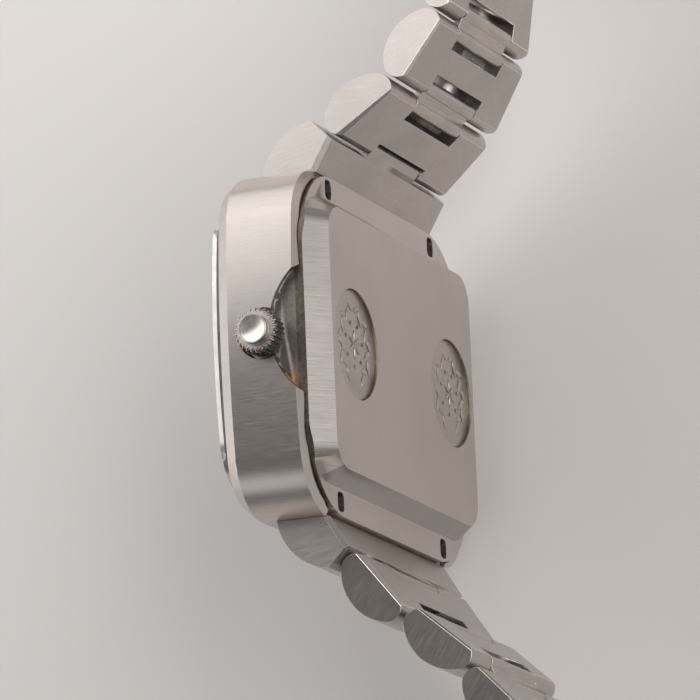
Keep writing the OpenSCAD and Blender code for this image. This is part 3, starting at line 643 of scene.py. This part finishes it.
class WATCH_OT_case(bpy.types.Operator):
    """Finishes the case, its bezel, glass and seals"""

    bl_idname = "watch.case"
    bl_label = "Case"

    def execute(self, context):
        s = sizes()
        flank = steel("Case steel", warm(0.57), warm(0.66), (0.27, 0.36), streaks=(8000, 420, 8000),
                      bump=0.7, scratch=0.06, grime_and_shade=0.7, grime_and_shade_colour=(0.16, 0.085, 0.035), patch=90.0)
        # The finger cut's floor and walls get a much darker steel: painted shade for the recess, with
        # brown grime in it
        cut = grimy_shaded_steel("Finger cut shaded steel", warm(0.24), warm(0.36), 0.8, 0.0016)
        stained(cut, -3 * MM, -5 * MM, (0.36, 0.15, 0.03))
        # A painted shadow: a dark strip on the bezel's foot, for the shade in the gap to the case
        seam = steel("Painted bezel shadow steel", warm(0.10), warm(0.20), (0.4, 0.55),
                     streaks=(900, 900, 900), bump=0.2)
        polish = steel("Polished steel", warm(0.70), warm(0.80), (0.12, 0.2),
                       streaks=(700, 700, 700), bump=0.15, scratch=0.15)
        # The finger cut: its half width, where it starts and ends in height, and its floor
        half, rim, ceiling, floor = 8.7 * MM, 2.52 * MM, 5.82 * MM, 22.4 * MM
        behind_floor = floor - 0.3 * MM

        def in_finger_cut(place, normal):
            inside = abs(place.x) < half and rim < place.y < ceiling and place.z > behind_floor
            return inside and (abs(normal.z) < 0.2 or (normal.z > 0.9 and place.z < floor))

        finished_copy("case_middle", s.edge, "head", [flank, cut, edge_steel()],
                      [in_finger_cut])
        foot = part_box("bezel")[1].y - s.bezel_height + s.bezel_shadow_seam

        def in_bezel_seam_shadow(place, normal):
            return place.y < foot

        finished_copy("bezel", s.edge, "head", [polish, seam, edge_steel()],
                      [in_bezel_seam_shadow], seam=((0, foot, 0), (0, 1, 0)))
        dress("crystal", glass())
        rubber = coated("Seal rubber", (0.02, 0.02, 0.02), (0.05, 0.05, 0.05), (0.6, 0.85))
        dress("crystal_gasket", rubber)
        dress("back_gasket", rubber)
        return {"FINISHED"}


class WATCH_OT_back(bpy.types.Operator):
    """Finishes the case back"""

    bl_idname = "watch.back"
    bl_label = "Case back"

    def execute(self, context):
        s = sizes()
        pad = steel("Case back steel", warm(0.58), warm(0.63), (0.30, 0.38),
                    streaks=(5200, 5200, 1300), bump=0.45, scratch=0.05,
                    grime_and_shade=0.5, grime_and_shade_colour=(0.13, 0.09, 0.055), patch=70.0)
        side = steel("Back bevel steel", warm(0.50), warm(0.72), (0.26, 0.36), streaks=(9000, 260, 260),
                     bump=1.1, scratch=0.05, patch=120.0)
        # The medallions' recess walls, the lid's side wall in its gap and the access slots are painted
        # darker, as shade, with brown grime over it
        wall = grimy_shaded_steel("Medallion wall shaded steel", (0.30, 0.25, 0.19), (0.48, 0.42, 0.34), 0.4, 0.0004)
        gap = grimy_shaded_steel("Lid wall shaded steel", (0.13, 0.10, 0.075), (0.25, 0.21, 0.17), 0.8, 0.0005)
        shaded_hole = grimy_shaded_steel("Access slot shaded steel", warm(0.22), warm(0.48), 0.7, 0.0010)
        # The end bevel is the pad's steel painted darker: painted shade for the way it faces the light
        shaded_slope = steel("Back end bevel shaded steel", warm(0.38), warm(0.44), (0.30, 0.38),
                      streaks=(5200, 5200, 1300), bump=0.45, scratch=0.05,
                      grime_and_shade=0.5, grime_and_shade_colour=(0.13, 0.09, 0.055), patch=70.0)
        medal_at = s.medal_gap / 2
        near_wall = s.medal_radius + 0.2 * MM
        # Depths from the pad's face: past the recesses' floor, just before the ledge and at it
        past_floor, before_ledge, at_ledge = 0.6 * MM, 1.9 * MM, 2.12 * MM
        # Where the lid's side wall starts, and the place, reach and ends of the access slots
        lid_wall, slot_z, slot_reach, slot_from, slot_to = (
            v * MM for v in (16.5, 14.45, 1.4, 15, 17.9)
        )

        def on_side_bevel(place, normal):
            return abs(normal.z) > 0.3 and normal.y < -0.3

        def on_end_bevel(place, normal):
            return abs(normal.x) > 0.5 and normal.y < -0.2

        def on_lid_wall(place, normal):
            return abs(normal.y) < 0.35 and abs(place.z) > lid_wall

        def near_medal(place):
            return math.hypot(place.x, abs(place.z) - medal_at) < near_wall

        def on_recess_wall(place, normal):
            return near_medal(place) and abs(normal.y) < 0.3 and place.y < past_floor

        def in_slot(place, normal):
            near = abs(abs(place.z) - slot_z) < slot_reach and slot_from < abs(place.x) < slot_to
            return near and abs(normal.y) < 0.3 and place.y > at_ledge

        def width_share(place):
            return 0.25 if near_medal(place) or place.y > before_ledge else 1.0

        finished_copy("case_back", s.back_edge, "head",
                      [pad, side, shaded_slope, wall, shaded_hole, gap, pad],
                      [on_side_bevel, on_end_bevel, on_recess_wall, in_slot, on_lid_wall],
                      width_share, segments=3, exact=False)
        return {"FINISHED"}


class WATCH_OT_medallions(bpy.types.Operator):
    """Models the two round medallions with a generic wreath in relief"""

    bl_idname = "watch.medallions"
    bl_label = "Medallions"

    def execute(self, context):
        s = sizes()
        # Strong grime-and-shade darkening paints dark shade outlines round the relief
        metal = steel("Medallion steel", warm(0.50), warm(0.60), (0.28, 0.38), streaks=(3000, 3000, 1300),
                      bump=0.5, scratch=0.1, grime_and_shade=3.0, reach=0.0004, grime_and_shade_colour=(0.09, 0.06, 0.04))
        pad_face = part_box("case_back")[0].y
        for side in (-1, 1):
            name = "upper_medallion" if side > 0 else "lower_medallion"
            medal = self.medallion(name, s.medal_radius, s.relief)
            spot = Vector((0, pad_face + s.medal_depth, side * s.medal_gap / 2))
            medal.data.transform(Matrix.Translation(spot))
            medal.data.materials.append(metal)
            smooth(medal, degrees=40)
            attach(medal, "head")
        return {"FINISHED"}

    def medallion(self, name, radius, relief):
        """A thin plate with two leafy sprigs, berries and a star in relief on its -Y face.

        That face lies at y = 0.
        """
        leaves, berries, petals = 9, 7, 6
        # Distances from the middle of the inner and outer leaves, the berries and the petals
        inner_line, outer_line, berry_line, petal_line = (v * MM for v in (3.45, 4.0, 2.35, 0.85))
        # Degrees to the first leaf and from leaf to leaf, and the lean of inner and outer leaves
        first_leaf, leaf_step, inner_lean, outer_lean = -62, 17.5, 52, 128
        parts = [self.plate(radius)]
        leaf = self.grain_shape("leaf", 14, 8, (0.98 * MM, relief, 0.38 * MM))
        for side in (-1, 1):
            for i in range(leaves):
                along = math.radians(first_leaf + leaf_step * i)
                r = inner_line if i % 2 else outer_line
                spot = Vector((r * math.sin(along), 0, side * r * math.cos(along)))
                lean = along + math.radians(inner_lean if i % 2 else outer_lean)
                size = 0.8 + 0.06 * (i % 4)
                parts.append(self.placed(leaf, spot, side * (lean - math.pi / 2), size))
        berry = self.grain_shape("berry", 10, 6, (0.24 * MM, relief, 0.24 * MM))
        for i in range(berries):
            a = 2 * math.pi * i / berries + 0.4
            spot = Vector((berry_line * math.cos(a), 0, berry_line * math.sin(a)))
            parts.append(self.placed(berry, spot, 0, 1))
        petal = self.grain_shape("petal", 14, 8, (0.72 * MM, relief, 0.26 * MM))
        for i in range(petals):
            a = 2 * math.pi * i / petals
            spot = Vector((petal_line * math.cos(a), 0, petal_line * math.sin(a)))
            parts.append(self.placed(petal, spot, -a, 1))
        for shape in (leaf, berry, petal):
            bpy.data.objects.remove(shape)
        return join(parts, name)

    def plate(self, radius):
        """The plate with its edge rounded over."""
        thick = 0.1 * MM
        deselect_all()
        bpy.ops.mesh.primitive_cylinder_add(vertices=96, radius=radius, depth=thick,
                                            location=(0, thick / 2, 0), rotation=(math.pi / 2, 0, 0))
        plate = bpy.context.object
        into_mesh(plate)
        soft = plate.modifiers.new("Rounded rim", "BEVEL")
        soft.width = 0.03 * MM
        soft.segments = 2
        bpy.ops.object.modifier_apply(modifier=soft.name)
        return plate

    def grain_shape(self, name, around, rings, radii):
        """A pointed grain with its length along x, its middle at y = 0."""
        deselect_all()
        bpy.ops.mesh.primitive_uv_sphere_add(segments=around, ring_count=rings, radius=1,
                                             location=(0, 0, 0), rotation=(0, math.pi / 2, 0))
        shape = bpy.context.object
        shape.name = name
        into_mesh(shape)
        for v in shape.data.vertices:
            pinch = 1 - 0.45 * v.co.x ** 2
            v.co = Vector((v.co.x * radii[0], v.co.y * pinch * radii[1], v.co.z * pinch * radii[2]))
        return shape

    def placed(self, shape, spot, turn, scale):
        """A copy of shape, scaled, turned about y and set at spot."""
        turned = Matrix.Rotation(turn, 4, "Y") @ Matrix.Scale(scale, 4)
        return copied(shape, Matrix.Translation(spot) @ turned)


class WATCH_OT_bracelet(bpy.types.Operator):
    """Finishes the end pieces, links, connectors and clasp"""

    bl_idname = "watch.bracelet"
    bl_label = "Bracelet"

    def execute(self, context):
        s = sizes()
        edge = edge_steel()

        def on_side(place, normal):
            return abs(normal.z) > 0.8

        side = steel("Link side steel", warm(0.52), warm(0.62), (0.27, 0.38), turn=(0, 0, 0.6),
                     streaks=(420, 6500, 6500), bump=0.8, scratch=0.28, grime_and_shade=0.6, patch=170.0)
        end_side = steel("End side steel", warm(0.64), warm(0.74), (0.27, 0.36), turn=(0, 0, -0.25),
                         streaks=(6500, 420, 6500), bump=0.7, scratch=0.15, grime_and_shade=0.6, patch=120.0)
        end = steel("End piece steel", warm(0.49), warm(0.57), (0.28, 0.38), turn=(0, 0, 0.5),
                    streaks=(5200, 5200, 1300), bump=0.5, scratch=0.1, grime_and_shade=0.8, patch=120.0)
        for word in ("six", "twelve"):
            finished_copy(word + "_end_piece", s.link_edge, "head",
                          [end, end_side, edge], [on_side])
        inner = steel("Link steel", warm(0.48), warm(0.57), (0.27, 0.38), streaks=(5200, 5200, 1300),
                      bump=0.55, scratch=0.12, grime_and_shade=0.8, patch=140.0)
        pins = steel("Pin steel", warm(0.4), warm(0.58), (0.25, 0.4),
                     streaks=(9000, 9000, 100), bump=0.5)
        hinge = steel("Connector steel", warm(0.48), warm(0.62), (0.24, 0.36), streaks=(9000, 9000, 120),
                      bump=0.7, scratch=0.2, grime_and_shade=0.7)
        for word, links, conns in STRANDS:
            for k in range(1, links + 1):
                body = "%s_link_%d" % (word, k)
                finished_copy(body, s.link_edge, body,
                              [inner, side, edge], [on_side])
                dress("%s_pins_%d" % (word, k), pins)
            for k in range(1, conns + 1):
                body = "%s_connector_%d" % (word, k)
                finished_copy(body, CONNECTOR_EDGE, body, [hinge, edge])
        finished_copy("clasp_cover", s.link_edge, "clasp_cover",
                      [inner, side, edge], [on_side], exact=False)
        blade = steel("Blade steel", warm(0.60), warm(0.72), (0.18, 0.3), turn=(0, 0, -0.9),
                      streaks=(90, 9000, 9000), bump=0.5, scratch=0.2)
        for body in ("clasp_outer_blade", "clasp_inner_blade"):
            finished_copy(body, BLADE_EDGE, body, [blade, edge], exact=False)
        dress("spring_bars", pins)
        return {"FINISHED"}


class WATCH_OT_controls(bpy.types.Operator):
    """Finishes the crown, the pushers and what they work on"""

    bl_idname = "watch.controls"
    bl_label = "Crown and pushers"

    def execute(self, context):
        s = sizes()
        polish = steel("Crown steel", warm(0.88), warm(0.95), (0.24, 0.34),
                       streaks=(900, 900, 900), bump=0.15, scratch=0.1)
        # The flutes' sides are painted near black: painted shade under and between the flutes
        shaded_flute = steel("Crown flute shaded steel", warm(0.14), warm(0.30), (0.3, 0.45),
                      streaks=(2500, 2500, 2500), bump=0.6, scratch=0.1)
        crown = self.crown(s)
        for m in (polish, shaded_flute, edge_steel()):
            crown.data.materials.append(m)
        for face in crown.data.polygons:
            tilt = abs(face.normal.z)
            on_rim = tilt < 0.9 and face.center.z < s.crown_front
            face.material_index = 1 if tilt < 0.4 else 2 if on_rim else 0
        smooth(crown, degrees=34)
        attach(crown, "crown_and_stem")
        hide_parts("crown")
        for word in ("start", "reset"):
            finished_copy(word + "_pusher", PUSHER_EDGE, word + "_pusher",
                          [polish, edge_steel()])
        work = steel("Turned steel", warm(0.42), warm(0.60), (0.2, 0.34),
                     streaks=(2000, 2000, 2000), bump=0.4)
        for name in ("winding_stem", "setting_lever", "crown_tube", "pusher_tubes", "cannon_pinion"):
            dress(name, work)
        for word in ("start", "reset"):
            self.spring(word, work, s)
        return {"FINISHED"}

    def spring(self, word, metal, s):
        """A coil under a pusher, wound from a ring of wire."""
        name = word + "_pusher_spring"
        low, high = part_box(name)
        middle = ((low.x + high.x) / 2, (low.y + high.y) / 2, high.z)
        wire = 0.12 * MM
        turns = 4
        length = high.z - low.z
        deselect_all()
        bpy.ops.mesh.primitive_circle_add(vertices=12, radius=wire, rotation=(math.pi / 2, 0, 0),
                                          location=((high.x - low.x) / 2 - wire, 0, low.z + wire))
        coil = bpy.context.object
        coil.name = name + "_coil"
        coil.data.name = coil.name
        into_mesh(coil)
        wind = coil.modifiers.new("Winding", "SCREW")
        wind.axis = "Z"
        wind.iterations = turns
        wind.steps = 28
        wind.screw_offset = (length - 2 * wire) / turns
        bpy.ops.object.modifier_apply(modifier=wind.name)
        open_mesh(coil)
        bpy.ops.mesh.remove_doubles(threshold=SAME_POINT)
        bpy.ops.mesh.fill_holes(sides=0)
        close_mesh()
        coil.data.transform(Matrix.Translation((middle[0], middle[1], 0)))
        coil.data.materials.append(metal)
        smooth(coil, degrees=50)
        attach(coil, "head")
        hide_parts(name)
        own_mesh(coil)

    def crown(self, s):
        """The fluted crown, drawn out ring by ring from its bore to its dished boss."""
        low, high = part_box("crown")
        tip = (high.x - low.x) / 2
        base, front, top = s.crown_base, s.crown_front, high.z
        # Radii of the bore, the boss, its dish and the ball whose curve the dish has
        bore, boss, dish, ball = 1.28 * MM, 1.55 * MM, 1.34 * MM, 4 * MM
        bore_end, flute_depth = front - 0.9 * MM, 0.24 * MM
        # The soft edge at the base, and the slope from the flutes in to the front
        soft, slope_in, slope_back = 0.06 * MM, 0.26 * MM, 0.30 * MM
        # The small slopes at the boss's foot and at its rim
        foot_out, foot_up, rim = 0.04 * MM, 0.05 * MM, 0.07 * MM
        # Heights of one tooth's profile, from a tip round to the next
        tooth = (1, 0.86, 0.35, 0.06, 0, 0.06, 0.35, 0.86)
        around = s.crown_teeth * len(tooth)
        deselect_all()
        bpy.ops.mesh.primitive_circle_add(vertices=around, radius=bore, fill_type="NGON",
                                          location=(0, 0, bore_end))
        crown = bpy.context.object
        crown.name = "crown_detailed"
        crown.data.name = crown.name
        into_mesh(crown)
        open_mesh(crown)

        def ring(radius, height, fluted=False):
            """Draws the cap out to a new ring, which follows the flutes if asked."""
            bpy.ops.mesh.extrude_region_move(TRANSFORM_OT_translate={"value": (0, 0, 0)})
            shape = bmesh.from_edit_mesh(crown.data)
            for v in shape.verts:
                if v.select:
                    turn = math.atan2(v.co.y, v.co.x)
                    step = round(turn / (2 * math.pi) * around) % len(tooth)
                    r = radius - flute_depth * (1 - tooth[step]) if fluted else radius
                    v.co = Vector((r * math.cos(turn), r * math.sin(turn), height))
            bmesh.update_edit_mesh(crown.data)

        ring(bore, base)
        ring(tip - soft, base, True)
        ring(tip, base + 2 * soft, True)
        ring(tip, front - slope_back, True)
        ring(tip - slope_in, front, True)
        ring(boss + foot_out, front)
        ring(boss, front + foot_up)
        ring(boss, top - rim)
        ring(boss - rim, top)
        ring(dish, top)
        for share in (0.97, 0.8, 0.6, 0.4, 0.2, 0.05):
            r = dish * share
            ring(r, top - math.sqrt(ball ** 2 - r ** 2) + math.sqrt(ball ** 2 - dish ** 2))
        close_mesh()
        crown.data.transform(Matrix.Translation((0, (low.y + high.y) / 2, 0)))
        return crown


class WATCH_OT_movement(bpy.types.Operator):
    """Finishes the movement"""

    bl_idname = "watch.movement"
    bl_label = "Movement"

    def execute(self, context):
        plated = steel("Plated brass", (0.52, 0.49, 0.42), (0.74, 0.70, 0.62), (0.2, 0.34),
                       streaks=(1200, 9000, 400), bump=0.6)
        gilt = steel("Gilt brass", (0.60, 0.42, 0.16), (0.80, 0.62, 0.30), (0.18, 0.3),
                     streaks=(1500, 1500, 1500), bump=0.5)
        for name in ("main_plate", "movement_bridge"):
            dress(name, plated)
        for name in ("mainspring_barrel", "balance_wheel", "minute_wheel", "hour_wheel"):
            dress(name, gilt)
        dress("movement_ring",
              coated("Ring plastic", (0.26, 0.25, 0.24), (0.36, 0.35, 0.33), (0.5, 0.7)))
        return {"FINISHED"}


class WATCH_OT_dial(bpy.types.Operator):
    """Finishes the dial, the markers and the hands"""

    bl_idname = "watch.dial"
    bl_label = "Dial and hands"

    def execute(self, context):
        dark = coated("Dial lacquer", (0.012, 0.014, 0.02), (0.02, 0.024, 0.034), (0.28, 0.42),
                      metallic=0.2)
        white = coated("Hand lacquer", (0.72, 0.70, 0.64), (0.82, 0.80, 0.74), (0.3, 0.45))
        orange = coated("Orange lacquer", (0.62, 0.13, 0.025), (0.74, 0.18, 0.04), (0.3, 0.45))
        dress("dial", dark)
        dress("flange_ring",
              coated("Flange lacquer", (0.02, 0.02, 0.022), (0.035, 0.035, 0.04), (0.4, 0.55)))
        dress("hour_markers",
              steel("Marker steel", (0.66, 0.65, 0.62), (0.86, 0.85, 0.83), (0.08, 0.18),
                    streaks=(900, 900, 900), bump=0.2))
        for name in ("hour_hand", "minute_hand", "running_seconds_hand", "minute_counter_hand"):
            dress(name, white)
        dress("chrono_seconds_hand", orange)
        return {"FINISHED"}


class WATCH_OT_print(bpy.types.Operator):
    """Prints the minute track, the two register rings and their numbers"""

    bl_idname = "watch.print"
    bl_label = "Dial print"

    def execute(self, context):
        s = sizes()
        paint = coated("Print lacquer", (0.76, 0.75, 0.70), (0.86, 0.85, 0.80), (0.4, 0.55))
        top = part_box("dial")[1].y
        # Half the track's width and height
        half_width, half_height = 15.45 * MM, 12.2 * MM
        # A register's depth, the place of its numbers and, in millimetres, its ring's radius
        depth, number_line, ring = 0.12 * MM, 2.45 * MM, 3.72
        mark = self.mark("print_mark")
        parts = []
        for i in range(60):
            a = 2 * math.pi * i / 60
            across, along = max(abs(math.sin(a)), 0.01), max(abs(math.cos(a)), 0.01)
            reach = min(half_width / across, half_height / along)
            parts.append(self.placed(mark, a, reach, (0, top, 0), 0.2 if i % 5 == 0 else 0.12, 0.7))
        for side, count, words in ((1, 60, ("20", "40", "60")), (-1, 30, ("10", "20", "30"))):
            centre = (0, top - depth, side * s.register_at)
            for i in range(count):
                a = 2 * math.pi * i / count
                size = (0.13, 0.55) if i % 5 == 0 else (0.07, 0.3)
                parts.append(self.placed(mark, a, (ring - size[1] / 2) * MM, centre, *size))
            for n, word in enumerate(words, 1):
                a = 2 * math.pi * n / 3
                parts.append(self.number(word, a, number_line, centre))
        bpy.data.objects.remove(mark)
        sheet = join(parts, "dial_print")
        cover(sheet, paint)
        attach(sheet, "head")
        return {"FINISHED"}

    def mark(self, name):
        """One printed stroke of unit length and width, a little narrower on top."""
        deselect_all()
        bpy.ops.mesh.primitive_plane_add(size=1, location=(0, 0, 0))
        stroke = bpy.context.object
        stroke.name = name
        open_mesh(stroke)
        bpy.ops.mesh.extrude_region_move(TRANSFORM_OT_translate={"value": (0, 0, 1)})
        bpy.ops.transform.resize(value=(0.9, 0.9, 1), center_override=(0, 0, 1))
        close_mesh()
        return stroke

    def on_dial(self, a, reach, centre, upright):
        """The turn and place of a print at angle a from twelve o'clock.

        Twelve lies at -X and three at -Z.
        """
        turn = Matrix(((0, -1, 0), (0, 0, 1), (-1, 0, 0))).to_4x4()
        spin = Matrix.Identity(4) if upright else Matrix.Rotation(-a, 4, "Z")
        spot = Vector(centre) + Vector((-math.cos(a), 0, -math.sin(a))) * reach
        return Matrix.Translation(spot) @ turn @ spin

    def placed(self, mark, a, reach, centre, width, length):
        """A copy of the mark at angle a, with its width and length in millimetres."""
        size = Matrix.Diagonal((width * MM, length * MM, 0.025 * MM, 1))
        return copied(mark, self.on_dial(a, reach, centre, False) @ size)

    def number(self, word, a, reach, centre):
        """A plain number made into a thin mesh."""
        half_thick = 0.012 * MM
        deselect_all()
        bpy.ops.object.text_add(location=(0, 0, 0))
        obj = bpy.context.object
        obj.data.body = word
        obj.data.size = 1.15 * MM
        obj.data.extrude = half_thick
        obj.data.align_x = "CENTER"
        obj.data.align_y = "CENTER"
        obj.data.resolution_u = 4
        bpy.ops.object.convert(target="MESH")
        obj = bpy.context.object
        lift = Matrix.Translation((0, 0, half_thick))
        obj.data.transform(self.on_dial(a, reach, centre, True) @ lift)
        return obj


class WATCH_OT_studio(bpy.types.Operator):
    """Sets the floor, the lights and the camera at the photograph's angle"""

    bl_idname = "watch.studio"
    bl_label = "Studio"

    def execute(self, context):
        s = sizes()
        scene = context.scene
        floor_z = CAD_BOX[0][2] - 0.2 * MM
        deselect_all()
        bpy.ops.mesh.primitive_plane_add(size=6, location=(0, 0, floor_z))
        floor = bpy.context.object
        floor.name = "studio_floor"
        mat = bpy.data.materials.new("Studio floor")
        mat.use_nodes = True
        shader = mat.node_tree.nodes["Principled BSDF"]
        shader.inputs["Base Color"].default_value = (*s.floor_colour, 1)
        shader.inputs["Roughness"].default_value = 0.9
        shader.inputs["Specular IOR Level"].default_value = 0.1
        floor.data.materials.append(mat)

        world = bpy.data.worlds.new("Studio air")
        world.use_nodes = True
        air = world.node_tree.nodes["Background"]
        air.inputs["Color"].default_value = (1, 0.985, 0.97, 1)
        air.inputs["Strength"].default_value = 0.16
        scene.world = world
        key = self.panel(*KEY_LIGHT)
        key.rotation_euler.z += KEY_TURN
        for light in OTHER_LIGHTS:
            self.panel(*light)

        camera = bpy.data.cameras.new("Photo camera")
        camera.lens = s.lens
        camera.sensor_width = 36
        camera.clip_start = 0.05
        camera.clip_end = 20
        rig = bpy.data.objects.new("Photo camera", camera)
        scene.collection.objects.link(rig)
        right = Vector(CAMERA_RIGHT).normalized()
        down = Vector(CAMERA_DOWN).normalized()
        back = right.cross(-down).normalized()
        up = back.cross(right).normalized()
        turn = Matrix((right, up, back)).transposed().to_4x4()
        rig.matrix_world = Matrix.Translation(CAMERA_AT) @ turn
        scene.camera = rig
        scene.view_settings.view_transform = "Standard"
        return {"FINISHED"}

    def panel(self, name, place, aim, width, height, radiance):
        """A soft rectangular light at place, facing aim."""
        light = bpy.data.lights.new(name, "AREA")
        light.shape = "RECTANGLE"
        light.size = width
        light.size_y = height
        light.energy = radiance * math.pi * width * height
        obj = bpy.data.objects.new(name, light)
        obj.visible_camera = False
        obj.location = place
        obj.rotation_euler = (Vector(aim) - Vector(place)).to_track_quat("-Z", "Y").to_euler()
        bpy.context.scene.collection.objects.link(obj)
        return obj


class WATCH_PT_sidebar(bpy.types.Panel):
    """Shows the watch's sizes and a button for each of its operators"""

    bl_label = "Chronograph watch"
    bl_idname = "WATCH_PT_sidebar"
    bl_space_type = "VIEW_3D"
    bl_region_type = "UI"
    bl_category = "Watch"

    def draw(self, context):
        for prop in ("edge", "link_edge", "back_edge", "bezel_height", "bezel_shadow_seam", "crown_base",
                     "crown_front", "crown_teeth", "register_at", "pusher_travel", "medal_radius",
                     "medal_gap", "medal_depth", "relief", "floor_colour", "lens"):
            self.layout.prop(context.scene.watch_sizes, prop)
        for op in OPERATORS:
            self.layout.operator(op.bl_idname)


OPERATORS = (
    WATCH_OT_case,
    WATCH_OT_back,
    WATCH_OT_medallions,
    WATCH_OT_bracelet,
    WATCH_OT_controls,
    WATCH_OT_movement,
    WATCH_OT_dial,
    WATCH_OT_print,
    WATCH_OT_studio,
)


def register():
    """Makes the sizes, the operators and the panel known to Blender."""
    for cls in (WatchSizes, *OPERATORS, WATCH_PT_sidebar):
        bpy.utils.register_class(cls)
    bpy.types.Scene.watch_sizes = bpy.props.PointerProperty(type=WatchSizes)


def unregister():
    """Takes them away again."""
    del bpy.types.Scene.watch_sizes
    for cls in reversed((WatchSizes, *OPERATORS, WATCH_PT_sidebar)):
        bpy.utils.unregister_class(cls)


def main():
    """Builds everything in order."""
    register()
    deselect_all()
    bpy.ops.watch.case()
    bpy.ops.watch.back()
    bpy.ops.watch.medallions()
    bpy.ops.watch.bracelet()
    bpy.ops.watch.controls()
    bpy.ops.watch.movement()
    bpy.ops.watch.dial()
    bpy.ops.watch.print()
    bpy.ops.watch.studio()


if __name__ == "__main__":
    main()
